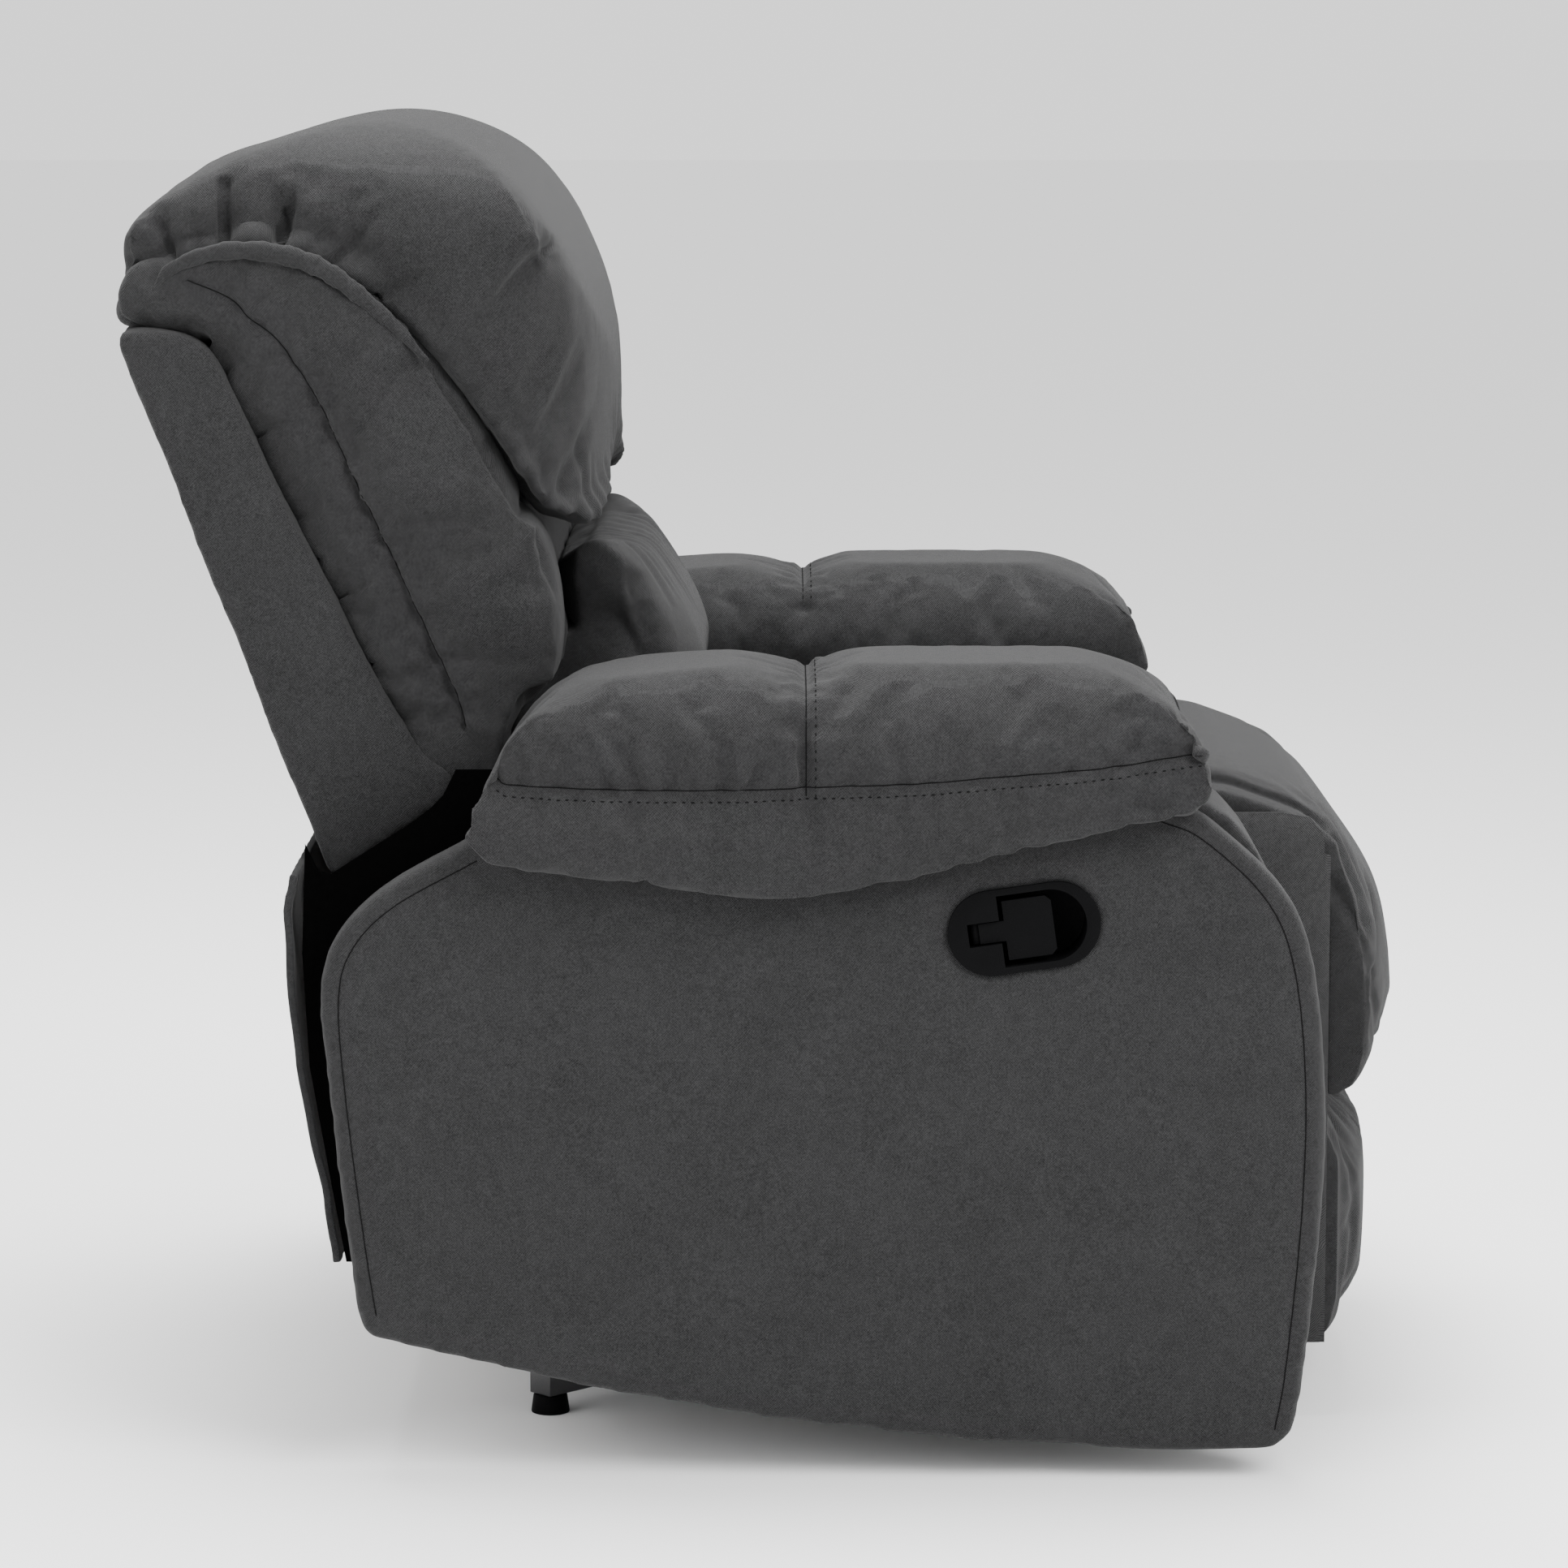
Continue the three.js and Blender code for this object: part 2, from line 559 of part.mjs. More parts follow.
function lumbarPillow() {
  const shape = new THREE.Shape().moveTo(212, 505);
  shape.lineTo(150, 572);
  shape.splineThru([[150, 611], [160, 655], [146, 677]].map(([y, z]) => new THREE.Vector2(y, z)));
  shape.splineThru([[116, 663], [94, 636], [73, 603], [61, 567], [62, 535], [80, 505]]
    .map(([y, z]) => new THREE.Vector2(y, z)));
  return sideSolid(shape, -POST_OUT, POST_OUT, 3);
}

function headPillow() {
  const half = 310;
  const shape = new THREE.Shape().moveTo(479, 848);
  shape.splineThru([[487, 875], [478, 925], [438, 952], [367, 979], [297, 992], [232, 977], [188, 942],
    [152, 884], [128, 812], [126, 756], [134, 712], [148, 688]].map(([y, z]) => new THREE.Vector2(y, z)));
  shape.splineThru([[168, 715], [212, 780], [254, 835], [296, 872], [326, 891], [356, 902], [398, 905],
    [434, 895], [455, 880]].map(([y, z]) => new THREE.Vector2(y, z)));
  const front = new THREE.Shape().moveTo(-half + 40, 680);
  front.lineTo(half - 40, 680);
  front.quadraticCurveTo(half, 680, half, 740);
  front.lineTo(half, 890);
  front.quadraticCurveTo(half, 975, half - 120, 993);
  front.lineTo(-half + 120, 993);
  front.quadraticCurveTo(-half, 975, -half, 890);
  front.lineTo(-half, 740);
  front.quadraticCurveTo(-half, 680, -half + 40, 680);
  const plan = new THREE.Shape().moveTo(-half, 500);
  plan.lineTo(-half, 190);
  plan.bezierCurveTo(-half, 140, -180, 125, 0, 125);
  plan.bezierCurveTo(180, 125, half, 140, half, 190);
  plan.lineTo(half, 500);
  return common(sideSolid(shape, -half, half, 3), frontSolid(front, 100, 500), planSolid(plan, 600, 1000));
}

for (const [side, label] of SIDES) {
  place('back', `back_post_${label}`, backPost(side), TIMBER);
  place('back', `back_side_${label}`, backSide(side), UPHOLSTERY);
  place('back', `wing_${label}`, wing(side), UPHOLSTERY);
}
const RAIL_HALF = POST_IN - GAP;
place('back', 'back_rail_lower', backBlock(60, 100, -POST_HALF, PANEL_FRONT - GAP, RAIL_HALF), TIMBER);
place('back', 'back_rail_top', backBlock(395, 430, -POST_HALF, PANEL_FRONT - GAP, RAIL_HALF), TIMBER);
place('back', 'back_panel', backBlock(41, 475, PANEL_FRONT, PANEL_REAR, BACK_HALF - 40 - GAP), UPHOLSTERY);
place('back', 'back_core', backCore(), LINING);
place('back', 'lumbar_pillow', lumbarPillow(), UPHOLSTERY);
place('back', 'head_pillow', headPillow(), UPHOLSTERY);

// ---------------------------------------------------------------- footrest linkage
const KNEE = [DRIVE_PIVOT[0] + DRIVE_LINK[0], DRIVE_PIVOT[1] + DRIVE_LINK[1]];
const BOARD_PIVOT = [CALF_HINGE[0] + DRIVE_LINK[0], CALF_HINGE[1] + DRIVE_LINK[1]];
const LINK_HALF = 11;

function driveLink(side) {
  return joined(
    sideSolid(barShape(DRIVE_PIVOT, KNEE, LINK_HALF), ...across(side, DRIVE_IN, DRIVE_OUT)),
    crossBar(6, ...across(side, DRIVE_IN, RAIL_IN + 10), DRIVE_PIVOT),
    crossBar(5, ...across(side, DRIVE_IN, STRUT_OUT), KNEE));
}

function strutLink(side) {
  const shape = barShape(KNEE, BOARD_PIVOT, LINK_HALF);
  addHole(shape, KNEE, 5.7);
  addHole(shape, BOARD_PIVOT, 6.2);
  return sideSolid(shape, ...across(side, STRUT_IN, STRUT_OUT));
}

for (const [side, label] of SIDES) {
  place('drive', `drive_link_${label}`, driveLink(side), ZINC_STEEL);
  place('strut', `strut_link_${label}`, strutLink(side), ZINC_STEEL);
}
place('drive', 'torque_tube', crossBar(9, -DRIVE_IN + GAP, DRIVE_IN - GAP, DRIVE_PIVOT), ZINC_STEEL);

// ---------------------------------------------------------------- footrest
const BOARD_HALF = 240.7;

function footrestBoard() {
  const board = box(-BOARD_HALF, BOARD_HALF, BOARD_FRONT, BOARD_REAR, 60, 385);
  const lugs = SIDES.flatMap(([side]) => [
    sideSolid(barShape([BOARD_REAR, BOARD_PIVOT[1]], BOARD_PIVOT, 12),
      ...across(side, STRUT_OUT + 1, STRUT_OUT + 7)),
    crossBar(5, ...across(side, STRUT_IN, STRUT_OUT + 7), BOARD_PIVOT)]);
  return joined(board, ...lugs);
}

function footrestArm(side) {
  const low = PLATE_OUT + 1;
  return joined(
    sideSolid(barShape(CALF_HINGE, [CALF_HINGE[0] - 2, 180], 10), ...across(side, low, low + 5)),
    crossBar(5, ...across(side, PLATE_IN, low + 5), CALF_HINGE));
}

// A pad of the footrest, crowned towards its middle.
function footrestPad(points) {
  const rear = BOARD_FRONT - GAP;
  const [start, ...bulge] = points;
  const shape = smoothOutline(start, bulge, [[rear, points.at(-1)[1] + 3], [rear, start[1]]]);
  const crown = new THREE.Shape().moveTo(-FOOTREST_HALF, -400);
  crown.lineTo(-FOOTREST_HALF, -462);
  crown.quadraticCurveTo(0, -512, FOOTREST_HALF, -462);
  crown.lineTo(FOOTREST_HALF, -400);
  return common(sideSolid(shape, -FOOTREST_HALF, FOOTREST_HALF, 3), planSolid(crown, 0, 500, 6));
}

const CALF_PROFILE = [[-436, 243], [-462, 252], [-480, 282], [-487, 330], [-480, 375], [-460, 418],
  [-430, 442]];
const FOOT_PROFILE = [[-436, 52], [-457, 66], [-465, 120], [-464, 195], [-450, 232], [-436, 236]];

place('footrest', 'footrest_board', footrestBoard(), TIMBER);
for (const [side, label] of SIDES) {
  place('footrest', `footrest_arm_${label}`, footrestArm(side), ZINC_STEEL);
}
place('footrest', 'calf_pad', footrestPad(CALF_PROFILE), UPHOLSTERY);
place('footrest', 'foot_pad', footrestPad(FOOT_PROFILE), UPHOLSTERY);

export default chair;
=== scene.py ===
import json
import math
import random

import bmesh
import bpy
import numpy as np
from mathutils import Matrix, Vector
from mathutils.bvhtree import BVHTree


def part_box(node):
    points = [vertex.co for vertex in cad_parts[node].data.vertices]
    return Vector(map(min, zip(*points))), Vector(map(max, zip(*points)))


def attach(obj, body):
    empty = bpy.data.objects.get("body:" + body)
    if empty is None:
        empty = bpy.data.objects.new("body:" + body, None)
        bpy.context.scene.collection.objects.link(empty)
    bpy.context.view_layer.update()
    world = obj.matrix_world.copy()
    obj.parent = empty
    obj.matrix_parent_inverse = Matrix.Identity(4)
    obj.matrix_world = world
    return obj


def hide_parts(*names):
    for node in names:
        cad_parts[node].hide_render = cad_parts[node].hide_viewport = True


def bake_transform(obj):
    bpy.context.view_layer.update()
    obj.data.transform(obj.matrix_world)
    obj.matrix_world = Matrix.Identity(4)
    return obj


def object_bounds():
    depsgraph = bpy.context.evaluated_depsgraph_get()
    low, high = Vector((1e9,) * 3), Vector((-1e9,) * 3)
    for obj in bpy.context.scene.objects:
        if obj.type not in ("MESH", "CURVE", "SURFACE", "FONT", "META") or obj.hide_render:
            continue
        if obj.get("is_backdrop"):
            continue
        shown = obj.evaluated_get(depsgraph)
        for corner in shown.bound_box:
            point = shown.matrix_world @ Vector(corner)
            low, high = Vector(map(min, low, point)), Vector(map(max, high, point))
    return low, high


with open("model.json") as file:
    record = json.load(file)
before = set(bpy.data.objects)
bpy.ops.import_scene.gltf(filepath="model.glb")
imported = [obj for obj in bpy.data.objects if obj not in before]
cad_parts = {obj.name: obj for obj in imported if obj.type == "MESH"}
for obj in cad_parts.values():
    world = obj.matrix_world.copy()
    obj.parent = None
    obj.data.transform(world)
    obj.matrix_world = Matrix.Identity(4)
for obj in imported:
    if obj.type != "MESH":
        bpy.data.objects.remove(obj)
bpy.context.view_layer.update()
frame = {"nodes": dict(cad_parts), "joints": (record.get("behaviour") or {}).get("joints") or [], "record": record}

scene = bpy.context.scene

# ------------------------------------------------------------------ where the chair is looked at from
# The chair stands on a plain pale floor under soft studio light, seen square from its handle side and
# from a little above.
LOOK_AT = Vector((0, -0.009, 0.458))
LOOK_FROM = 4.6
LOOK_DOWN = math.radians(8.05)
LENS_ACROSS = 3.64907            # focal length over image width
SIDES = (("left", -1), ("right", 1))

SENSOR_WIDTH = 36


def placed(name, data):
    """A new object in the scene that holds this data."""
    thing = bpy.data.objects.new(name, data)
    scene.collection.objects.link(thing)
    return thing


camera_data = bpy.data.cameras.new("camera")
camera_data.sensor_width = SENSOR_WIDTH
camera_data.lens = SENSOR_WIDTH * LENS_ACROSS
camera = placed("camera", camera_data)
camera.location = LOOK_AT + LOOK_FROM * Vector((-math.cos(LOOK_DOWN), 0, math.sin(LOOK_DOWN)))
camera.rotation_euler = (LOOK_AT - camera.location).to_track_quat("-Z", "Y").to_euler()
scene.camera = camera


class Signal:
    """A value inside a material; arithmetic on it adds Math nodes."""

    def __init__(self, tree, socket):
        self.tree = tree
        self.socket = socket

    def math(self, operation, *others):
        return add_node(self.tree, "ShaderNodeMath", {"operation": operation}, [self, *others])

    def __add__(self, other):
        return self.math("ADD", other)

    def __sub__(self, other):
        return self.math("SUBTRACT", other)

    def __mul__(self, other):
        return self.math("MULTIPLY", other)

    def __rsub__(self, other):
        return add_node(self.tree, "ShaderNodeMath", {"operation": "SUBTRACT"}, [other, self])

    __radd__ = __add__
    __rmul__ = __mul__


def add_node(tree, kind, settings, values, output=0):
    """Adds a node: its settings first, then its sockets in order, or by name where values is a dict."""
    node = tree.nodes.new(kind)
    for name, value in settings.items():
        if name == "stops":
            for element, (position, colour) in zip(node.color_ramp.elements, value):
                element.position = position
                element.color = colour
        else:
            setattr(node, name, value)
    pairs = values.items() if isinstance(values, dict) else enumerate(values)
    for key, value in pairs:
        if isinstance(value, Signal):
            tree.links.new(value.socket, node.inputs[key])
        else:
            node.inputs[key].default_value = value
    return Signal(tree, node.outputs[output])


def new_finish(name, colour, roughness, constants=None):
    """A material with its Principled shader set, and the tree and shader to work on."""
    finish = bpy.data.materials.new(name)
    finish.use_nodes = True
    shader = finish.node_tree.nodes["Principled BSDF"]
    shader.inputs["Base Color"].default_value = (*colour, 1)
    shader.inputs["Roughness"].default_value = roughness
    for socket, value in (constants or {}).items():
        shader.inputs[socket].default_value = value
    return finish, finish.node_tree, shader


def feed(tree, shader, socket, signal):
    tree.links.new(signal.socket, shader.inputs[socket])


def tone(tree, colour, shade):
    """The colour made lighter or darker by a signal round 1."""
    return add_node(tree, "ShaderNodeVectorMath", {"operation": "SCALE"}, {0: colour, "Scale": shade})


def place_on(tree):
    """Where a point of the surface is, in the piece's own coordinates."""
    return add_node(tree, "ShaderNodeTexCoord", {}, [], output=3)


def noise(tree, where, scale, detail=2.0):
    return add_node(tree, "ShaderNodeTexNoise", {}, {"Vector": where, "Scale": scale, "Detail": detail})


def bump(tree, height, distance, strength=1.0):
    return add_node(tree, "ShaderNodeBump", {}, {"Height": height, "Distance": distance,
                                                 "Strength": strength})


floor_finish = new_finish("studio_floor", (0.92, 0.92, 0.92), 0.7)[0]
floor_mesh = bpy.data.meshes.new("studio_floor")
REACH = 30
floor_mesh.from_pydata([(-REACH, -REACH, 0), (REACH, -REACH, 0), (REACH, REACH, 0), (-REACH, REACH, 0)],
                       [], [(0, 1, 2, 3)])
floor_mesh.materials.append(floor_finish)
floor = placed("studio_floor", floor_mesh)
floor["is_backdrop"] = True


def soft_light(name, size, power, place, target=LOOK_AT):
    data = bpy.data.lights.new(name, "AREA")
    data.shape = "DISK"
    data.size = size
    data.energy = power
    lamp = placed(name, data)
    lamp.location = place
    lamp.rotation_euler = (Vector(target) - lamp.location).to_track_quat("-Z", "Y").to_euler()


world = bpy.data.worlds.new("studio")
world.use_nodes = True
world.node_tree.nodes["Background"].inputs[0].default_value = (1, 1, 1, 1)
world.node_tree.nodes["Background"].inputs[1].default_value = 1.4
scene.world = world
soft_light("key_light", 2.4, 205, (-2.6, -2.2, 3.0))
soft_light("fill_light", 2.6, 70, (-3.0, 2.2, 1.6))
soft_light("top_light", 2.2, 250, (0.4, 0.2, 3.4))


# ------------------------------------------------------------------ base cross, deck and rockers
# The swivel base is a cross of welded steel tube on four hard glides. A pressed deck plate turns on it
# and carries the rails that the rocker cams roll on. All of it is powder coated black.
def coated_steel():
    finish, tree, shader = new_finish("black_powder_coat", (0.012, 0.012, 0.013), 0.42)
    where = place_on(tree)
    peel = noise(tree, where, 900, 1)
    scuffs = noise(tree, where, 38, 5)
    feed(tree, shader, "Roughness", 0.3 + scuffs * 0.3)
    feed(tree, shader, "Base Color", tone(tree, (0.014, 0.014, 0.015), 0.6 + scuffs * 0.8))
    feed(tree, shader, "Normal", bump(tree, peel, 0.0002))
    return finish


def zinc_steel():
    finish, tree, shader = new_finish("zinc_plate", (0.5, 0.51, 0.52), 0.35, {"Metallic": 0.9})
    where = place_on(tree)
    grain = noise(tree, where, 60, 6)
    feed(tree, shader, "Roughness", 0.25 + grain * 0.25)
    feed(tree, shader, "Base Color", tone(tree, (0.5, 0.51, 0.52), 0.7 + grain * 0.5))
    feed(tree, shader, "Normal", bump(tree, grain, 0.0002))
    return finish


def frame_timber():
    finish, tree, shader = new_finish("frame_timber", (0.4, 0.27, 0.15), 0.7)
    where = place_on(tree)
    along = add_node(tree, "ShaderNodeVectorMath", {"operation": "MULTIPLY"}, [where, (60, 6, 60)])
    grain = noise(tree, along, 1.0, 6)
    pores = noise(tree, along, 9.0, 2)
    feed(tree, shader, "Base Color", tone(tree, (0.42, 0.28, 0.16), 0.55 + grain * 0.7 + pores * 0.2))
    feed(tree, shader, "Roughness", 0.6 + pores * 0.25)
    feed(tree, shader, "Normal", bump(tree, grain, 0.0004))
    return finish


def moulded_plastic():
    finish, tree, shader = new_finish("black_moulded_plastic", (0.0022, 0.0022, 0.0024), 0.45,
                                      {"Specular IOR Level": 0.03})
    where = place_on(tree)
    leather_grain = add_node(tree, "ShaderNodeTexVoronoi", {}, {"Vector": where, "Scale": 1100})
    haze = noise(tree, where, 50, 3)
    feed(tree, shader, "Roughness", 0.45 + haze * 0.25)
    feed(tree, shader, "Base Color", tone(tree, (0.0022, 0.0022, 0.0024), 0.8 + haze * 0.5))
    feed(tree, shader, "Normal", bump(tree, leather_grain, 0.0002, 0.7))
    return finish


CARRIED_FINISHES = {"black_steel": coated_steel(), "zinc_steel": zinc_steel(), "timber": frame_timber(),
                    "black_plastic": moulded_plastic()}
SLOT_OF = {row["node"]: row["material_slot"] for row in frame["record"]["subparts"]}
for node, item in frame["nodes"].items():
    finish = CARRIED_FINISHES.get(SLOT_OF[node])
    if finish:
        item.data.materials.clear()
        item.data.materials.append(finish)


def new_piece(name, mesh, finish, body):
    """Puts a finished mesh in the scene with its material, riding on a body."""
    piece = placed(name, mesh)
    dress(piece, finish)
    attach(piece, body)
    return piece


def dress(piece, finish):
    piece.data.materials.clear()
    piece.data.materials.append(finish)
    piece.data.shade_smooth()


def shape_tree(name, *labels):
    """A Geometry Nodes tree that takes a mesh and some numbers, with the identifiers of the numbers."""
    tree = bpy.data.node_groups.new(name, "GeometryNodeTree")
    tree.interface.new_socket("Geometry", in_out="OUTPUT", socket_type="NodeSocketGeometry")
    tree.interface.new_socket("Geometry", in_out="INPUT", socket_type="NodeSocketGeometry")
    sockets = [tree.interface.new_socket(label, in_out="INPUT", socket_type="NodeSocketFloat")
               for label in labels]
    return tree, [socket.identifier for socket in sockets]


def shaped(name, mesh, tree, keys, values):
    """The mesh that a Geometry Nodes tree makes of another mesh."""
    holder = placed(name, mesh)
    modifier = holder.modifiers.new("shape", "NODES")
    modifier.node_group = tree
    for key, value in zip(keys, values):
        modifier[key] = value
    graph = bpy.context.evaluated_depsgraph_get()
    made = bpy.data.meshes.new_from_object(holder.evaluated_get(graph))
    bpy.data.objects.remove(holder)
    return made


# Each rocker spring is a coil of round wire between the deck plate and a lug of the cam.
WIRE_RADIUS = 0.0018
SPRING_TURNS = 9


def spring_mesh(name, low, high):
    """A helix of wire swept round the middle of a box."""
    middle = (low + high) / 2
    radius = (high.x - low.x) / 2 - WIRE_RADIUS
    tree, keys = shape_tree(name, "Wire radius")
    spiral = tree.nodes.new("GeometryNodeCurveSpiral")
    for key, value in {"Resolution": 20, "Rotations": SPRING_TURNS, "Start Radius": radius,
                       "End Radius": radius, "Height": high.z - low.z - 2 * WIRE_RADIUS}.items():
        spiral.inputs[key].default_value = value
    ring = tree.nodes.new("GeometryNodeCurvePrimitiveCircle")
    ring.inputs["Resolution"].default_value = 8
    sweep = tree.nodes.new("GeometryNodeCurveToMesh")
    shift = tree.nodes.new("GeometryNodeTransform")
    shift.inputs["Translation"].default_value = (middle.x, middle.y, low.z + WIRE_RADIUS)
    paint = tree.nodes.new("GeometryNodeSetMaterial")
    paint.inputs["Material"].default_value = CARRIED_FINISHES["zinc_steel"]
    group_in = tree.nodes.new("NodeGroupInput")
    group_out = tree.nodes.new("NodeGroupOutput")
    tree.links.new(group_in.outputs["Wire radius"], ring.inputs["Radius"])
    tree.links.new(spiral.outputs[0], sweep.inputs[0])
    tree.links.new(ring.outputs[0], sweep.inputs[1])
    sweep.inputs["Fill Caps"].default_value = True
    tree.links.new(sweep.outputs[0], shift.inputs[0])
    tree.links.new(shift.outputs[0], paint.inputs[0])
    tree.links.new(paint.outputs[0], group_out.inputs[0])
    return shaped(name, bpy.data.meshes.new(name), tree, keys, [WIRE_RADIUS])


for side in ("left", "right"):
    low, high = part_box(f"rocker_spring_{side}")
    coil = placed(f"rocker_coil_{side}", spring_mesh(f"rocker_coil_{side}", low, high))
    dress(coil, CARRIED_FINISHES["zinc_steel"])
    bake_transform(coil)
    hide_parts(f"rocker_spring_{side}")


# ------------------------------------------------------------------ charcoal cover cloth
# The cover is a dense woven upholstery cloth with a short felted nap: a fine plain weave, loose fibres and
# slubs over it, and soft mottling where the nap lies differently.
CLOTH_COLOUR = (0.0158, 0.0158, 0.0162)
YARN_PITCH = 0.0018              # metres from one yarn to the next


def cover_cloth():
    finish, tree, shader = new_finish("charcoal_weave", CLOTH_COLOUR, 0.9,
                                      {"Sheen Weight": 0.06, "Sheen Roughness": 0.5,
                                       "Specular IOR Level": 0.12})
    where = place_on(tree)
    facing = add_node(tree, "ShaderNodeTexCoord", {}, [], output=1)
    place = [add_node(tree, "ShaderNodeSeparateXYZ", {}, [where], output=i) for i in range(3)]
    turn = [add_node(tree, "ShaderNodeSeparateXYZ", {}, [facing], output=i).math("ABSOLUTE")
            for i in range(3)]
    sideways = turn[0].math("GREATER_THAN", 0.62)
    upwards = turn[2].math("GREATER_THAN", 0.72)
    wander = noise(tree, where, 70, 2) * 0.004
    warp = place[1] * sideways + place[0] * (1 - sideways) + wander
    weft = place[1] * upwards + place[2] * (1 - upwards) + wander
    turns_per_metre = 2 * math.pi / YARN_PITCH
    weave = (warp * turns_per_metre).math("SINE") * (weft * turns_per_metre).math("SINE")
    nap = noise(tree, where, 16, 5)
    fuzz = noise(tree, where, 620, 2)
    slub = noise(tree, where, 130, 3)
    shade = weave * 0.46 + nap * 0.55 + fuzz * 1.7 + slub * 0.6 - 0.4
    feed(tree, shader, "Base Color", tone(tree, CLOTH_COLOUR, shade))
    feed(tree, shader, "Roughness", 0.8 + nap * 0.2)
    feed(tree, shader, "Normal", bump(tree, weave * 0.5 + fuzz * 0.6 + slub * 0.4, 0.0006, 0.7))
    return finish


CLOTH = cover_cloth()


# Soft pieces start from the plain solids of the frame: welded, rounded, filled and then worked one by one.
def piece_from(bm, name):
    """A new object in the scene from a working mesh, which is freed."""
    mesh = bpy.data.meshes.new(name)
    bm.to_mesh(mesh)
    bm.free()
    return placed(name, mesh)


def solid_copy(name, *nodes):
    bm = bmesh.new()
    for node in nodes:
        bm.from_mesh(frame["nodes"][node].data)
    bmesh.ops.remove_doubles(bm, verts=bm.verts, dist=1e-5)
    return piece_from(bm, name)


def side_prism(name, outline, x_low, x_high):
    """A solid from an outline of (y, z) points, between two places across the chair."""
    bm = bmesh.new()
    ring = [bm.verts.new((x_low, y, z)) for y, z in outline]
    face = bm.faces.new(ring)
    grown = bmesh.ops.extrude_face_region(bm, geom=[face])
    moved = [v for v in grown["geom"] if isinstance(v, bmesh.types.BMVert)]
    bmesh.ops.translate(bm, verts=moved, vec=(x_high - x_low, 0, 0))
    bmesh.ops.recalc_face_normals(bm, faces=bm.faces)
    return piece_from(bm, name)


def work_in(piece, kind, **settings):
    """Adds one modifier, sets it and works it into the mesh."""
    modifier = piece.modifiers.new(kind, kind)
    for key, value in settings.items():
        setattr(modifier, key, value)
    graph = bpy.context.evaluated_depsgraph_get()
    mesh = bpy.data.meshes.new_from_object(piece.evaluated_get(graph))
    piece.modifiers.clear()
    piece.data = mesh
    return piece


def rounded(piece, voxel, passes, ease=0.0, eased=None):
    """Rebuilds the skin in even faces and rounds it; an ease draws it in for the filling to take up."""
    work_in(piece, "REMESH", mode="VOXEL", voxel_size=voxel)
    if passes:
        work_in(piece, "SMOOTH", factor=0.5, iterations=passes)
    if ease:
        normals = normals_of(piece)
        share = 1.0 if eased is None else eased(normals)[:, None]
        reshape(piece, points_of(piece) - ease * share * normals)
    return piece


def points_of(piece):
    co = np.empty(len(piece.data.vertices) * 3)
    piece.data.vertices.foreach_get("co", co)
    return co.reshape(-1, 3)


def normals_of(piece):
    out = np.empty(len(piece.data.vertices) * 3)
    piece.data.vertex_normals.foreach_get("vector", out)
    return out.reshape(-1, 3)


def reshape(piece, points):
    piece.data.vertices.foreach_set("co", points.ravel())
    piece.data.update()


def path_distance(points, path):
    """How far each point is from a line of points, and how far along the line its nearest place is."""
    path = np.array(path, float)
    best = np.full(len(points), 1e9)
    along = np.zeros(len(points))
    run = 0.0
    for a, b in zip(path[:-1], path[1:]):
        step = b - a
        length = np.linalg.norm(step)
        t = np.clip((points - a) @ step / length ** 2, 0, 1)
        gap = np.linalg.norm(points - a - t[:, None] * step, axis=1)
        closer = gap < best
        best[closer] = gap[closer]
        along[closer] = run + t[closer] * length
        run += length
    return best, along, run


def sew(piece, path, depth=0.004, width=0.005, pucker=0.0012, every=0.03, reach=0.03):
    """Pulls the skin in along a seam and puckers the cloth on both sides of it."""
    points = points_of(piece)
    normals = normals_of(piece)
    gap, along, _ = path_distance(points, path)
    move = -depth * np.exp(-(gap / width) ** 2)
    wave = np.sin(2 * math.pi * along / every) + 0.6 * np.sin(2 * math.pi * along / (every * 0.63) + 1)
    move += pucker * wave * np.exp(-(gap / reach) ** 2) * (1 - np.exp(-(gap / width) ** 2))
    reshape(piece, points + normals * move[:, None])


def fold(piece, path, depth=0.006, width=0.006, lip=0.35, fade=0.6):
    """A pleat: a groove that is deep where it starts and runs out, with a raised lip beside it."""
    points = points_of(piece)
    normals = normals_of(piece)
    gap, along, run = path_distance(points, path)
    strength = np.clip(1 - along / run, 0, 1) ** fade
    groove = -np.exp(-(gap / width) ** 2)
    ridge = lip * np.exp(-((gap - 2.2 * width) / (1.2 * width)) ** 2)
    move = depth * strength * (groove + ridge) * (gap < 6 * width)
    reshape(piece, points + normals * move[:, None])


def crinkle_at(piece, places, toward, draws, depths, widths):
    """A small pleat along places on the skin, with its depth and width drawn from their ranges."""
    hits = seam_line(piece, places, toward)
    if len(hits) > 1:
        depth = draws.uniform(*depths)
        width = widths if isinstance(widths, float) else draws.uniform(*widths)
        fold(piece, hits, depth=depth, width=width)


def doubled(piece):
    """One subdivision, so that seams and pleats worked in afterwards come out crisp."""
    work_in(piece, "SUBSURF", levels=1, render_levels=1)
    return piece


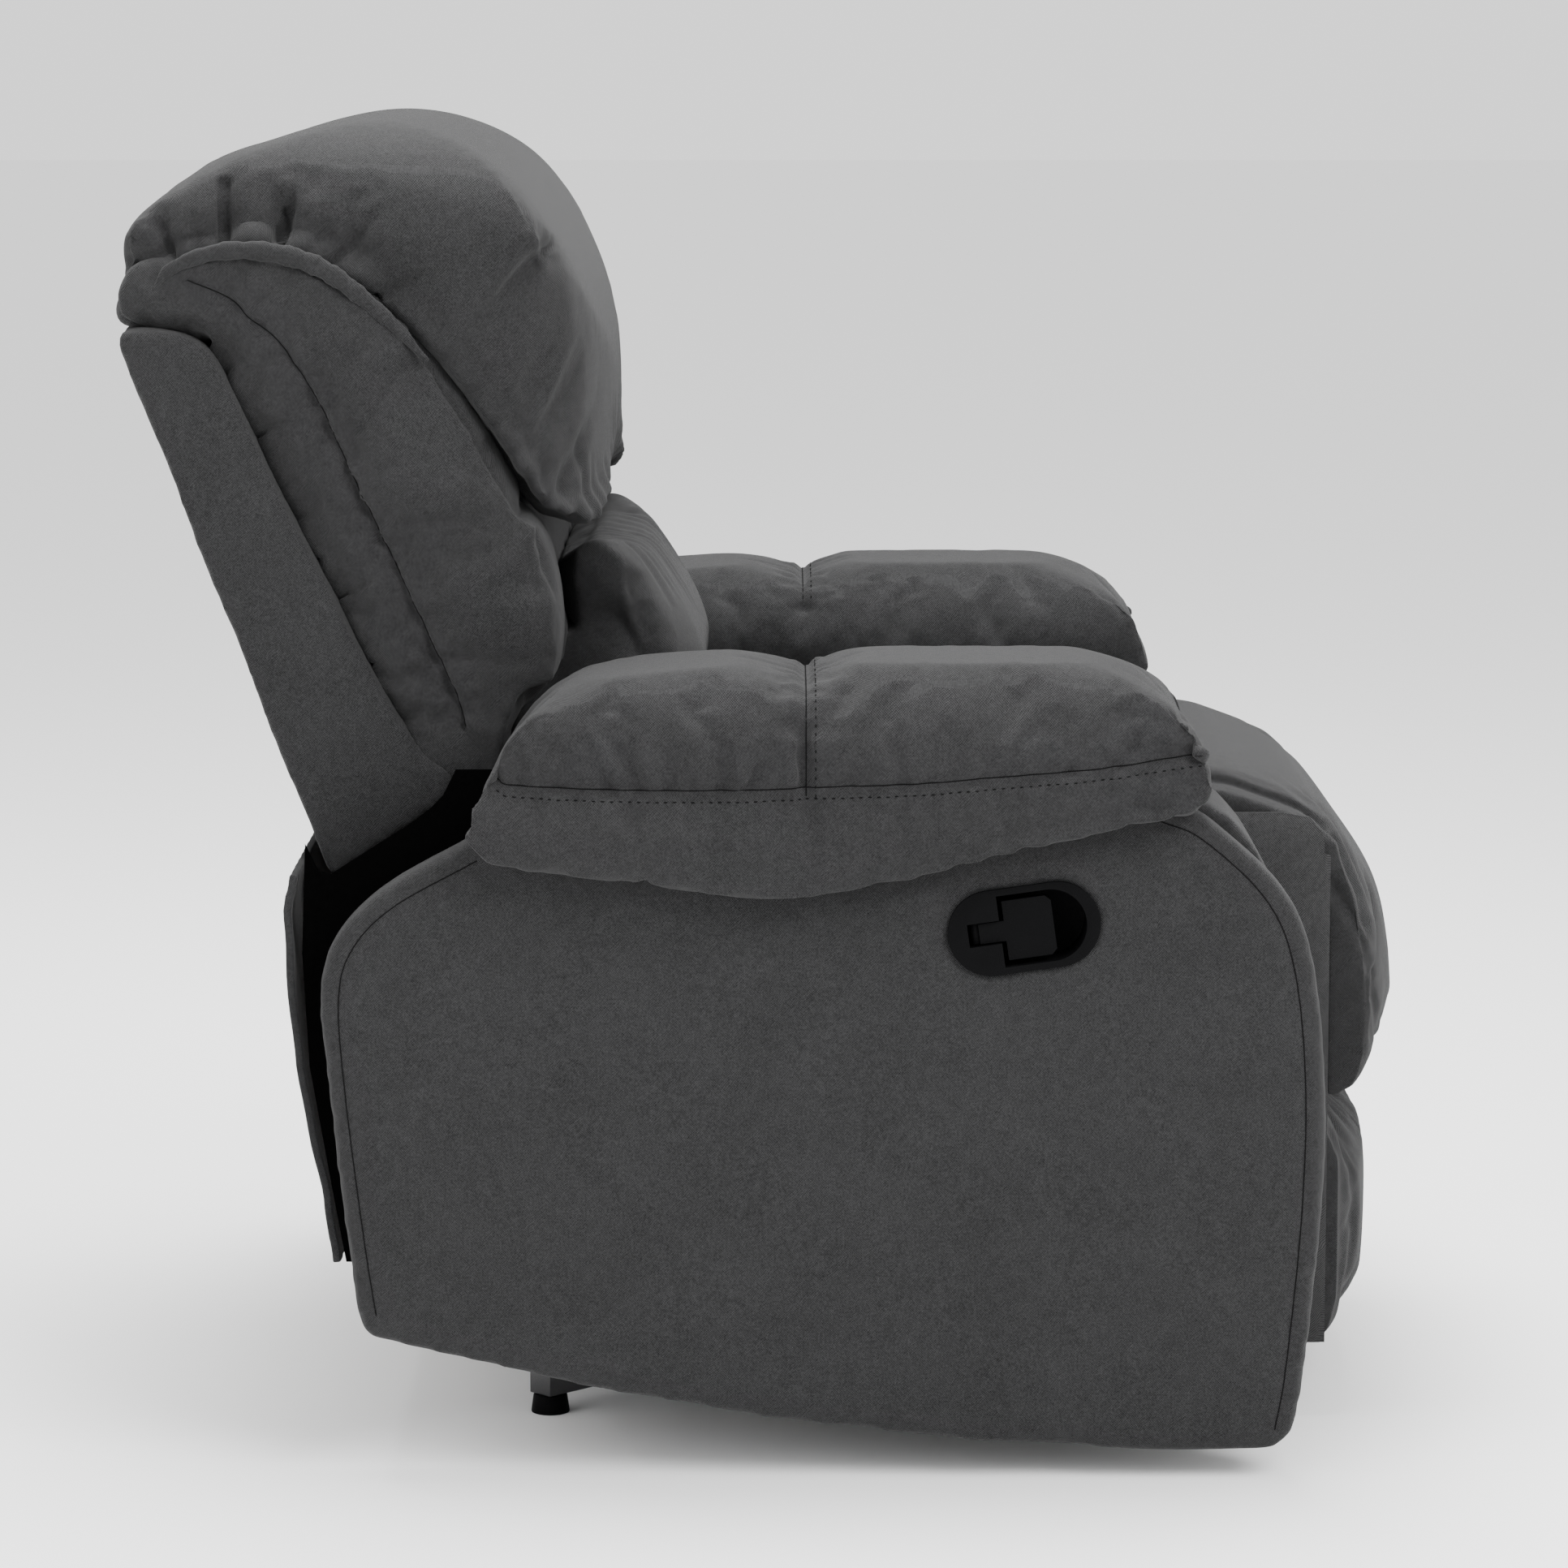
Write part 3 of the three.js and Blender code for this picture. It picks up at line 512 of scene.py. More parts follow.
def fill_out(piece, pinned=None, pressure=4.0, spare=0.0, cap=0.02, frames=20, stiff=8):
    """Fills the skin like a cushion by a cloth run; pinned(points) says from 0 to 1 what the seams hold."""
    start = points_of(piece)
    holder = placed("filling", piece.data.copy())
    cloth = holder.modifiers.new("cloth", "CLOTH")
    cloth.settings.quality = 5
    cloth.settings.mass = 0.3
    cloth.settings.tension_stiffness = stiff
    cloth.settings.compression_stiffness = stiff
    cloth.settings.shear_stiffness = stiff / 2
    cloth.settings.bending_stiffness = 0.15
    cloth.settings.use_pressure = True
    cloth.settings.uniform_pressure_force = pressure
    cloth.settings.shrink_min = -spare
    cloth.settings.effector_weights.gravity = 0
    if pinned is not None:
        group = holder.vertex_groups.new(name="held")
        for index, weight in enumerate(np.clip(pinned(start), 0, 1)):
            if weight > 0.02:
                group.add([index], float(weight), "REPLACE")
        cloth.settings.vertex_group_mass = "held"
    cloth.point_cache.frame_start = 1
    cloth.point_cache.frame_end = frames
    for number in range(1, frames + 1):
        scene.frame_set(number)
    graph = bpy.context.evaluated_depsgraph_get()
    filled = holder.evaluated_get(graph).to_mesh()
    moved = np.empty(len(filled.vertices) * 3)
    filled.vertices.foreach_get("co", moved)
    shift = moved.reshape(-1, 3) - start
    length = np.linalg.norm(shift, axis=1, keepdims=True)
    shift *= np.minimum(1, cap / np.maximum(length, 1e-9))
    bpy.data.objects.remove(holder)
    scene.frame_set(1)
    reshape(piece, start + shift)
    return doubled(piece)


def skin_of(node):
    """The outside of a solid of the frame, for finding where a piece would touch it."""
    bm = bmesh.new()
    bm.from_mesh(frame["nodes"][node].data)
    tree = BVHTree.FromBMesh(bm)
    bm.free()
    return tree


def drawn_on(piece, places, toward):
    """Where lines of sight through these places, in one direction, meet the piece's skin."""
    tree = BVHTree.FromObject(piece, bpy.context.evaluated_depsgraph_get())
    found = []
    toward = Vector(toward).normalized()
    for place in places:
        hit, normal, _, _ = tree.ray_cast(Vector(place) - toward * 0.6, toward)
        if hit is not None:
            found.append((hit, normal))
    return found


def at(node, fx, fy, fz):
    """A point at these fractions of a node's box."""
    low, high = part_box(node)
    return Vector((low.x + fx * (high.x - low.x), low.y + fy * (high.y - low.y),
                   low.z + fz * (high.z - low.z)))


def smooth_line(points, steps=8):
    """A Catmull-Rom line through the points."""
    points = [Vector(p) for p in points]
    padded = [2 * points[0] - points[1], *points, 2 * points[-1] - points[-2]]
    line = []
    for a, b, c, d in zip(padded, padded[1:], padded[2:], padded[3:]):
        for i in range(steps):
            t = i / steps
            line.append(0.5 * (2 * b + (c - a) * t + (2 * a - 5 * b + 4 * c - d) * t * t
                               + (3 * b - a - 3 * c + d) * t ** 3))
    return [*line, points[-1]]


def seam_line(piece, places, toward):
    """A seam's path laid on the skin."""
    return [hit for hit, _ in drawn_on(piece, smooth_line(places), toward)]


def finish_soft(piece, body, *nodes, fill=0.6, slot="upholstery"):
    """Covers a soft piece; one that bends between two bodies rides on none."""
    dress(piece, CLOTH)
    if body:
        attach(piece, body)
    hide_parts(*nodes)
    return piece


def mirrored(piece, name):
    """The same piece for the other side of the chair."""
    bm = bmesh.new()
    bm.from_mesh(piece.data)
    for vert in bm.verts:
        vert.co.x = -vert.co.x
    bmesh.ops.reverse_faces(bm, faces=bm.faces)
    return piece_from(bm, name)


# Topstitching is heavy thread: short rounded stitches in a row along a seam, each dipping into the cloth.
# The tight stitches of a plain seam are shorter and nearly touch, running together into a near-black line
# that is also painted shade for the seam's crevice.
TOPSTITCH = (0.0066, 0.0023, 0.0007)         # pitch, length and thickness of a stitch
FINE_TOPSTITCH = (0.0066, 0.0015, 0.0006)
SEAM_SHADE_LINE_STITCH = (0.0016, 0.0011, 0.0005)


def thread_finish():
    # The thread is near-black, darker than the cloth; in the close-set seam lines it also serves as painted shade.
    finish, tree, shader = new_finish("charcoal_thread", (0.004, 0.004, 0.004), 0.9,
                                      {"Specular IOR Level": 0.05})
    where = place_on(tree)
    twist = noise(tree, where, 1500, 1)
    feed(tree, shader, "Base Color", tone(tree, (0.004, 0.004, 0.004), 0.7 + twist * 0.6))
    return finish


THREAD = thread_finish()


def stitch_tree():
    """Geometry nodes: a line of points becomes a row of stitches of a given length and pitch."""
    tree, keys = shape_tree("stitch_row", "Pitch", "Length", "Thickness")
    nodes = {kind: tree.nodes.new(kind) for kind in (
        "NodeGroupInput", "NodeGroupOutput", "GeometryNodeMeshToCurve", "GeometryNodeResampleCurve",
        "GeometryNodeInstanceOnPoints", "GeometryNodeMeshUVSphere", "GeometryNodeInputTangent",
        "FunctionNodeAlignRotationToVector", "ShaderNodeCombineXYZ", "GeometryNodeRealizeInstances",
        "GeometryNodeSetMaterial")}
    link = tree.links.new
    given = nodes["NodeGroupInput"].outputs
    resample = nodes["GeometryNodeResampleCurve"]
    resample.mode = "LENGTH"
    ball = nodes["GeometryNodeMeshUVSphere"]
    ball.inputs["Segments"].default_value = 6
    ball.inputs["Rings"].default_value = 4
    turn = nodes["FunctionNodeAlignRotationToVector"]
    turn.axis = "Z"
    size = nodes["ShaderNodeCombineXYZ"]
    place = nodes["GeometryNodeInstanceOnPoints"]
    link(given["Geometry"], nodes["GeometryNodeMeshToCurve"].inputs[0])
    link(nodes["GeometryNodeMeshToCurve"].outputs[0], resample.inputs["Curve"])
    link(given["Pitch"], resample.inputs["Length"])
    link(resample.outputs[0], place.inputs["Points"])
    link(ball.outputs[0], place.inputs["Instance"])
    link(nodes["GeometryNodeInputTangent"].outputs[0], turn.inputs["Vector"])
    link(turn.outputs[0], place.inputs["Rotation"])
    link(given["Thickness"], size.inputs["X"])
    link(given["Thickness"], size.inputs["Y"])
    link(given["Length"], size.inputs["Z"])
    link(size.outputs[0], place.inputs["Scale"])
    link(place.outputs[0], nodes["GeometryNodeRealizeInstances"].inputs[0])
    link(nodes["GeometryNodeRealizeInstances"].outputs[0], nodes["GeometryNodeSetMaterial"].inputs[0])
    nodes["GeometryNodeSetMaterial"].inputs["Material"].default_value = THREAD
    link(nodes["GeometryNodeSetMaterial"].outputs[0], nodes["NodeGroupOutput"].inputs[0])
    return tree, keys


STITCH_TREE, STITCH_INPUTS = stitch_tree()


def stitch(name, piece, places, toward, body, form=TOPSTITCH):
    """A row of topstitches along a line of places laid on a piece's skin."""
    hits = drawn_on(piece, smooth_line(places, 12), toward)
    stitch_hits(name, hits, body, form)


def stitch_hits(name, hits, body, form):
    """A row of stitches along places that are already on a skin."""
    mesh = bpy.data.meshes.new(name)
    mesh.from_pydata([hit + normal * 0.0002 for hit, normal in hits],
                     [(i, i + 1) for i in range(len(hits) - 1)], [])
    new_piece(name, shaped(name, mesh, STITCH_TREE, STITCH_INPUTS, form), THREAD, body)


def seam_thread_shade_line(name, piece, places, toward, body):
    """The tight line of thread that closes a plain seam, near-black and unbroken so that it also paints the shade
    in the seam's crevice.
    """
    hits = drawn_on(piece, smooth_line(places, 16), toward)
    stitch_hits(name, hits, body, SEAM_SHADE_LINE_STITCH)


# ------------------------------------------------------------------ hard parts of the frame
# Rails, boards, plates, links and brackets keep the frame's own shapes, with the small worn edge radius
# that sawn timber, pressed steel and moulded plastic have.
EDGE_RADIUS = {"timber": 0.0016, "zinc_steel": 0.0006, "black_steel": 0.0008, "black_plastic": 0.0010}


def edged(node, body):
    slot = SLOT_OF[node]
    piece = solid_copy(f"{node}_edged", node)
    bm = bmesh.new()
    bm.from_mesh(piece.data)
    bmesh.ops.dissolve_limit(bm, angle_limit=math.radians(1), verts=bm.verts, edges=bm.edges)
    bm.to_mesh(piece.data)
    bm.free()
    work_in(piece, "BEVEL", width=EDGE_RADIUS[slot], segments=2, limit_method="ANGLE",
            angle_limit=math.radians(35), use_clamp_overlap=True)
    dress(piece, CARRIED_FINISHES[slot])
    piece.data.set_sharp_from_angle(angle=math.radians(35))
    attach(piece, body)
    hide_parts(node)


SPRING_NODES = {"rocker_spring_left", "rocker_spring_right", "seat_spring_1", "seat_spring_2",
                "seat_spring_3"}
COVERED = {"arm_frame_left", "arm_frame_right"}
for body, members in frame["record"]["behaviour"]["bodies"].items():
    for node in members:
        if SLOT_OF[node] in EDGE_RADIUS and node not in SPRING_NODES | COVERED:
            edged(node, body)


# ------------------------------------------------------------------ side panels
# Each side is a board padded with thin foam under the cover cloth. A border strip runs round its curved
# front and rear edges and is joined by a plain seam.
FRONT_BORDER = [(0.167, 0.972), (0.126, 0.944), (0.064, 0.855), (0.035, 0.752), (0.022, 0.575),
                (0.024, 0.368), (0.038, 0.131), (0.048, 0.036)]
REAR_BORDER = [(0.946, 0.215), (0.957, 0.33), (0.9745, 0.554), (0.980, 0.70), (0.966, 0.777),
               (0.925, 0.842), (0.843, 0.912)]


def clear_of_bezel(points, side):
    """0 where the handle's bezel holds the cover flat, rising to 1 away from it."""
    if side == "right":
        return np.ones(len(points))
    low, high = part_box("handle_bezel")
    middle = (low + high) / 2
    reach = np.hypot((points[:, 1] - middle.y) / (high.y - low.y),
                     (points[:, 2] - middle.z) / (high.z - low.z)) * 2
    return np.clip((reach - 1.15) / 0.3, 0, 1)


def panel_cover(side, toward):
    node = f"side_panel_{side}"
    cover = rounded(solid_copy(f"side_cover_{side}", node), 0.006, 0)
    group = cover.vertex_groups.new(name="free")
    for index, weight in enumerate(clear_of_bezel(points_of(cover), side)):
        group.add([index], float(weight), "REPLACE")
    work_in(cover, "SMOOTH", factor=0.5, iterations=9, vertex_group="free")
    doubled(cover)
    cover.vertex_groups.clear()
    borders = [[at(node, 0, fy, fz) for fy, fz in border] for border in (FRONT_BORDER, REAR_BORDER)]
    points = points_of(cover)
    free = clear_of_bezel(points, side)
    normals = normals_of(cover)
    low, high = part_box(node)
    across = np.clip((points[:, 1] - low.y) / (high.y - low.y), 0, 1)
    upward = np.clip((points[:, 2] - low.z) / (high.z - low.z), 0, 1)
    crown = 0.004 * np.sin(math.pi * across) ** 0.5 * np.sin(math.pi * upward) ** 0.5
    crown = crown * (np.abs(normals[:, 0]) > 0.8) * free
    ripple = 0.0006 * np.sin(points[:, 1] * 41 + 3 * np.sin(points[:, 2] * 13)) * free
    reshape(cover, points + normals * (crown + ripple)[:, None])
    for border in borders:
        sew(cover, seam_line(cover, border, toward), depth=0.0016, width=0.004, pucker=0.0005,
            every=0.022, reach=0.018)
    return finish_soft(cover, "body", node, fill=1.0), borders


for side, toward in (("left", (1, 0, 0)), ("right", (-1, 0, 0))):
    cover, borders = panel_cover(side, toward)
    for name, border in zip(("front", "rear"), borders):
        seam_thread_shade_line(f"side_seam_{name}_{side}", cover, border, toward, "body")


# ------------------------------------------------------------------ arm boxes
# The cover cloth is stretched over the front, the inside and the back of each arm's timber frame, with
# thin foam at the front edge.
def arm_cover(side):
    node = f"arm_frame_{side}"
    low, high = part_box(node)
    bend = 0.085
    corner = [(low.y + bend * (1 - math.sin(a)), high.z - bend * 1.8 * (1 - math.cos(a)))
              for a in np.linspace(0, math.pi / 2, 8)]
    outline = [(high.y, low.z), (high.y, high.z), *corner, (low.y, low.z)]
    cover = rounded(side_prism(f"arm_cover_{side}", outline, low.x, high.x), 0.007, 4)
    seam = smooth_line([at(node, 0.5, 0.0, f) for f in (0.03, 0.3, 0.6, 0.75)])
    sew(cover, seam, depth=0.0, pucker=0.0006, every=0.05, reach=0.05)
    return finish_soft(cover, "body", node, fill=1.0)


for side in ("left", "right"):
    arm_cover(side)


# ------------------------------------------------------------------ arm pads
# Thick fibre filled pads lie over the arms. A seam topstitched below joins the top to a drooping outer
# band, a welt crosses the top, and the cloth gathers along both.
PAD_SEAM = [(0.955, 0.528), (0.93, 0.500), (0.775, 0.478), (0.632, 0.478), (0.527, 0.492),
            (0.396, 0.507), (0.306, 0.532), (0.175, 0.568), (0.11, 0.596), (0.064, 0.622),
            (0.022, 0.64)]
WELT_PLACE = 0.545               # where the welt crosses, from the front of the pad
TOPSTITCH_DROP = 0.008           # the topstitching runs this far below the seam
WELT_TOPSTITCH = 0.007           # and this far in front of the welt


def ring_on(piece, centre, axis_y, start, stop, steps=40):
    """A line round a piece in the plane across the chair at one place along it."""
    tree = BVHTree.FromObject(piece, bpy.context.evaluated_depsgraph_get())
    found = []
    for angle in np.linspace(math.radians(start), math.radians(stop), steps):
        outward = Vector((math.cos(angle), 0, math.sin(angle)))
        hit, normal, _, _ = tree.ray_cast(Vector((centre.x, axis_y, centre.z)) + outward * 0.4, -outward)
        if hit is not None:
            found.append((hit, normal))
    return found


def arm_pad_cover():
    node = "arm_pad_left"
    toward = (1, 0, 0)
    pad = rounded(solid_copy("arm_pad_cover_left", node), 0.006, 5, 0.010,
                  lambda normals: np.clip(normals[:, 2] * 3 + 0.8, 0, 1))
    seam = [at(node, 0, fy, fz) for fy, fz in PAD_SEAM]
    seam_path = seam_line(pad, seam, toward)
    centre = at(node, 0.45, 0, 0.55)
    welt_y = at(node, 0, WELT_PLACE, 0).y
    welt = ring_on(pad, centre, welt_y, 20, 194)
    welt_path = [hit for hit, _ in welt]
    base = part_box("side_panel_left")[1].z + 0.010
    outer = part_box("side_panel_left")[0].x

    def held(points):
        to_seam = path_distance(points, seam_path)[0]
        to_welt = path_distance(points, welt_path)[0]
        under = (points[:, 2] < base) & (points[:, 0] > outer - 0.002)
        return np.maximum.reduce([np.exp(-(to_seam / 0.006) ** 2), 0.9 * np.exp(-(to_welt / 0.005) ** 2),
                                  under * 1.0])

    fill_out(pad, held, pressure=5, spare=0.03, cap=0.013)
    sew(pad, seam_path, depth=0.004, width=0.0055, pucker=0.0016, every=0.034, reach=0.028)
    sew(pad, welt_path, depth=0.0042, width=0.005, pucker=0.0013, every=0.028, reach=0.022)
    gather = random.Random(7)
    for k in range(17):
        f = 0.04 + 0.9 * k / 16 + gather.uniform(-0.02, 0.02)
        start = np.interp(f, [p[0] for p in PAD_SEAM[::-1]], [p[1] for p in PAD_SEAM[::-1]])
        lean = gather.uniform(-0.05, 0.05) + 0.08 * (f - 0.5)
        rise = gather.uniform(0.14, 0.34)
        places = [at(node, 0, f + lean * t, start + 0.015 + rise * t) for t in (0, 0.5, 1)]
        fold(pad, seam_line(pad, places, toward), depth=gather.uniform(0.0015, 0.0038),
             width=gather.uniform(0.004, 0.007))
    for k, fz in enumerate((0.40, 0.52, 0.64, 0.78)):
        places = [at(node, 0.02 + 0.03 * k, 0.012, fz), at(node, 0, 0.06, fz + 0.015),
                  at(node, 0, 0.13, fz + 0.05)]
        fold(pad, seam_line(pad, places, (0.8, 0.6, 0)), depth=0.0018, width=0.005)
    for k, fy in enumerate((0.97, 0.93, 0.88)):
        places = [at(node, 0, fy, 0.86 - 0.1 * k), at(node, 0, fy - 0.02, 0.72 - 0.1 * k)]
        fold(pad, seam_line(pad, places, (0.8, -0.6, 0)), depth=0.0018, width=0.005)
    return pad, seam, welt_y, centre


pad, pad_seam, welt_y, pad_centre = arm_pad_cover()
pads = {"left": pad, "right": mirrored(pad, "arm_pad_cover_right")}
for side, sign in (("left", 1), ("right", -1)):
    cover = finish_soft(pads[side], "body", f"arm_pad_{side}", fill=0.75)
    seam = [Vector((sign * p.x, p.y, p.z)) for p in pad_seam]
    seam_thread_shade_line(f"pad_seam_{side}", cover, seam, (sign, 0, 0), "body")
    places = [p - Vector((0, 0, TOPSTITCH_DROP)) for p in seam]
    stitch(f"pad_stitches_{side}", cover, places, (sign, 0, 0), "body", FINE_TOPSTITCH)
    centre = Vector((sign * pad_centre.x, 0, pad_centre.z))
    angles = (25, 190) if side == "left" else (155, -10)
    # The welt's close stitching is the same near-black line: thread, and painted shade in the welt's groove.
    stitch_hits(f"pad_welt_{side}", ring_on(cover, centre, welt_y, *angles), "body", SEAM_SHADE_LINE_STITCH)
    beside = ring_on(cover, centre, welt_y - WELT_TOPSTITCH, *angles)
    stitch_hits(f"pad_welt_stitches_{side}", beside, "body", FINE_TOPSTITCH)


# ------------------------------------------------------------------ rear apron, and dust lining as painted gap shade
# A stiffened cloth apron closes the back of the body below the backrest, hemmed along its lower edge.
# Black dust cloth is stapled to the inside of the side panels behind the arms; it is near-black and almost without
# gloss, as painted shade for the dark gap below the back.
def apron():
    low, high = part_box("rear_skirt")
    deep = high.y - low.y
    tall = high.z - low.z
    profile = smooth_line([(0, low.y + 0.008, low.z), (0, low.y + 0.4 * deep, low.z + 0.2 * tall),
                           (0, high.y - 0.009, low.z + 0.51 * tall), (0, high.y - 0.001, low.z + 0.86 * tall),
                           (0, high.y - 0.006, high.z)], 8)
    columns = 90
    bm = bmesh.new()
    rows = []
    for k, point in enumerate(profile):
        row = []
        slack = math.sin(math.pi * k / (len(profile) - 1))
        for i in range(columns + 1):
            f = i / columns
            wave = 0.0012 * slack * math.sin(f * 37 + 0.2 * k) + 0.0008 * math.sin(f * 91 + k)
            row.append(bm.verts.new((low.x + f * (high.x - low.x), point.y - abs(wave), point.z)))
        rows.append(row)
    for lower, upper in zip(rows, rows[1:]):
        for i in range(columns):
            bm.faces.new((lower[i], upper[i], upper[i + 1], lower[i + 1]))
    piece = piece_from(bm, "rear_apron")
    piece.data.flip_normals()
    work_in(piece, "SOLIDIFY", thickness=0.006, offset=-1)
    work_in(piece, "BEVEL", width=0.0015, segments=2, limit_method="ANGLE")
    return finish_soft(piece, "body", "rear_skirt", fill=0.9)


rear_apron = apron()
apron_low, apron_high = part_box("rear_skirt")
hem_height = apron_low.z + 0.018
stitch("apron_hem_stitches", rear_apron,
       [(x, 0.3, hem_height) for x in np.linspace(apron_low.x + 0.01, apron_high.x - 0.01, 12)],
       (0, -1, 0), "body")


def shade_lining_cloth():
    # Near-black and almost without gloss, so the sheet reads as painted shade in the gap whatever light reaches
    # it.
    finish, tree, shader = new_finish("black_dust_cloth_painted_shade", (0.0006, 0.0006, 0.0006), 1.0,
                                      {"Specular IOR Level": 0.01})
    where = place_on(tree)
    fibres = noise(tree, where, 300, 4)
    feed(tree, shader, "Base Color", tone(tree, (0.0006, 0.0006, 0.0006), 0.5 + fibres))
    return finish


GAP_SHADE_LINING = shade_lining_cloth()


def flat_sheet(name, outline, x, finish, body, thick=0.0012):
    """A sheet of cloth in an upright plane along the chair, from its outline of (y, z) points."""
    piece = side_prism(name, outline, x - thick / 2, x + thick / 2)
    dress(piece, finish)
    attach(piece, body)
    wide = [y for y, _ in outline]
    tall = [z for _, z in outline]
    area = abs(sum(a[0] * b[1] - b[0] * a[1] for a, b in zip(outline, [*outline[1:], outline[0]]))) / 2
    max(wide) - min(wide)
    max(tall) - min(tall)
    return piece


GAP_TOP = 0.525                  # the lining reaches no higher than this inside the arm pad,
GAP_REAR_TOP = 0.470             # nor than this behind it


def gap_shade_lining(side, sign):
    """The near-black lining, painted shade for the gap, follows the back's lower edge above, and the apron's
    profile behind.
    """
    shell_tree = skin_of(f"back_side_{side}")
    pad_low, pad_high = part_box(f"arm_pad_{side}")
    low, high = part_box("rear_skirt")
    top = []
    for y in np.linspace(pad_high.y - 0.018, high.y - 0.012, 16):
        hit = shell_tree.ray_cast(Vector((sign * 0.31, y, 0.2)), Vector((0, 0, 1)))[0]
        height = hit.z + 0.010 if hit is not None else GAP_TOP
        top.append((float(y), min(height, GAP_TOP if y < 0.31 else GAP_REAR_TOP)))
    deep = high.y - low.y
    tall = high.z - low.z
    front = 0.12
    outline = [(front, low.z), (low.y + 0.004, low.z), (low.y + 0.4 * deep - 0.003, low.z + 0.2 * tall),
               (high.y - 0.0135, low.z + 0.51 * tall), (high.y - 0.009, low.z + 0.8 * tall), *top[::-1],
               (pad_high.y - 0.019, pad_low.z - 0.004), (front, pad_low.z - 0.004)]
    flat_sheet(f"gap_shade_lining_{side}", outline, sign * 0.3975, GAP_SHADE_LINING, "body")


for side, sign in SIDES:
    gap_shade_lining(side, sign)


# ------------------------------------------------------------------ backrest shell
# The outside of the backrest is one padded cover over the side boards and the rear board. It is sewn
# round the corners and flat down the back.
def back_shell():
    boards = ("back_panel", "back_side_left", "back_side_right")
    shell = rounded(solid_copy("back_shell", *boards), 0.006, 6)
    points = points_of(shell)
    normals = normals_of(shell)
    low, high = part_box("back_panel")
    across = np.clip((points[:, 0] - low.x) / (high.x - low.x), 0, 1)
    crown = 0.006 * np.sin(math.pi * across) ** 0.6 * (normals[:, 1] > 0.5)
    ripple = 0.0008 * np.sin(points[:, 2] * 47 + 2 * np.sin(points[:, 0] * 17))
    reshape(shell, points + normals * (crown + ripple)[:, None])
    for sign in (-1, 1):
        corner = [(sign * 0.285, 1, low.z + f * (high.z - low.z)) for f in (0.05, 0.3, 0.6, 0.95)]
        sew(shell, seam_line(shell, corner, (0, -1, 0)), depth=0.0025, width=0.004, pucker=0.0006)
    return finish_soft(shell, "back", *boards, fill=0.9)


shell = back_shell()
shell_low, shell_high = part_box("back_panel")
for side, sign in SIDES:
    corner = [(sign * 0.279, 1, shell_low.z + f * (shell_high.z - shell_low.z))
              for f in (0.06, 0.3, 0.6, 0.93)]
    stitch(f"back_corner_stitches_{side}", shell, corner, (0, -1, 0), "back")


# ------------------------------------------------------------------ wings
# A long filled bolster runs down each side of the back, from over the shoulder to the arm pad, with a
# seam along its middle.
WING_SEAM = [(0.923, 0.960), (0.819, 0.925), (0.773, 0.888), (0.709, 0.850), (0.652, 0.789),
             (0.592, 0.711), (0.542, 0.622), (0.431, 0.4375), (0.341, 0.286), (0.271, 0.167),
             (0.245, 0.10)]


def add_solid(piece, part):
    """Joins a second solid to a piece before its skin is rebuilt."""
    bm = bmesh.new()
    bm.from_mesh(piece.data)
    bm.from_mesh(part.data)
    bm.to_mesh(piece.data)
    bm.free()
    bpy.data.objects.remove(part)


def wing_body():
    """The wing's solid, its tail laid over the end of the arm pad and its head tucked under the pillow."""
    low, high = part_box("wing_left")
    pad_low, pad_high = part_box("arm_pad_left")
    pad_tree = skin_of("arm_pad_left")
    beside = (pad_low.x + pad_high.x) / 2
    contour = []
    for y in np.linspace(low.y + 0.004, pad_high.y - 0.035, 7):
        hit = pad_tree.ray_cast(Vector((beside, y, 0.75)), Vector((0, 0, -1)))[0]
        if hit is not None:
            contour.append((float(y), hit.z - 0.003))
    for z in np.linspace(contour[-1][1] - 0.012, low.z - 0.036, 7):
        hit = pad_tree.ray_cast(Vector((beside, 0.45, z)), Vector((0, -1, 0)))[0]
        if hit is not None:
            contour.append((hit.y - 0.010, float(z)))
    tail = [*contour, (pad_high.y + 0.035, low.z - 0.038), (0.29, 0.57), (0.27, 0.70), (low.y + 0.02, 0.70),
            (low.y + 0.002, 0.64)]
    shell_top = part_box("back_side_left")[1].z
    pillow_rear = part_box("head_pillow")[1].y
    head = [(0.385, shell_top + 0.003), (pillow_rear - 0.008, shell_top + 0.003),
            (pillow_rear - 0.003, shell_top + 0.022), (pillow_rear - 0.014, shell_top + 0.045),
            (0.40, shell_top + 0.045)]
    wing = solid_copy("wing_cover_left", "wing_left")
    add_solid(wing, side_prism("wing_tail", tail, low.x + 0.002, high.x))
    add_solid(wing, side_prism("wing_head", head, -0.317, high.x))
    return wing


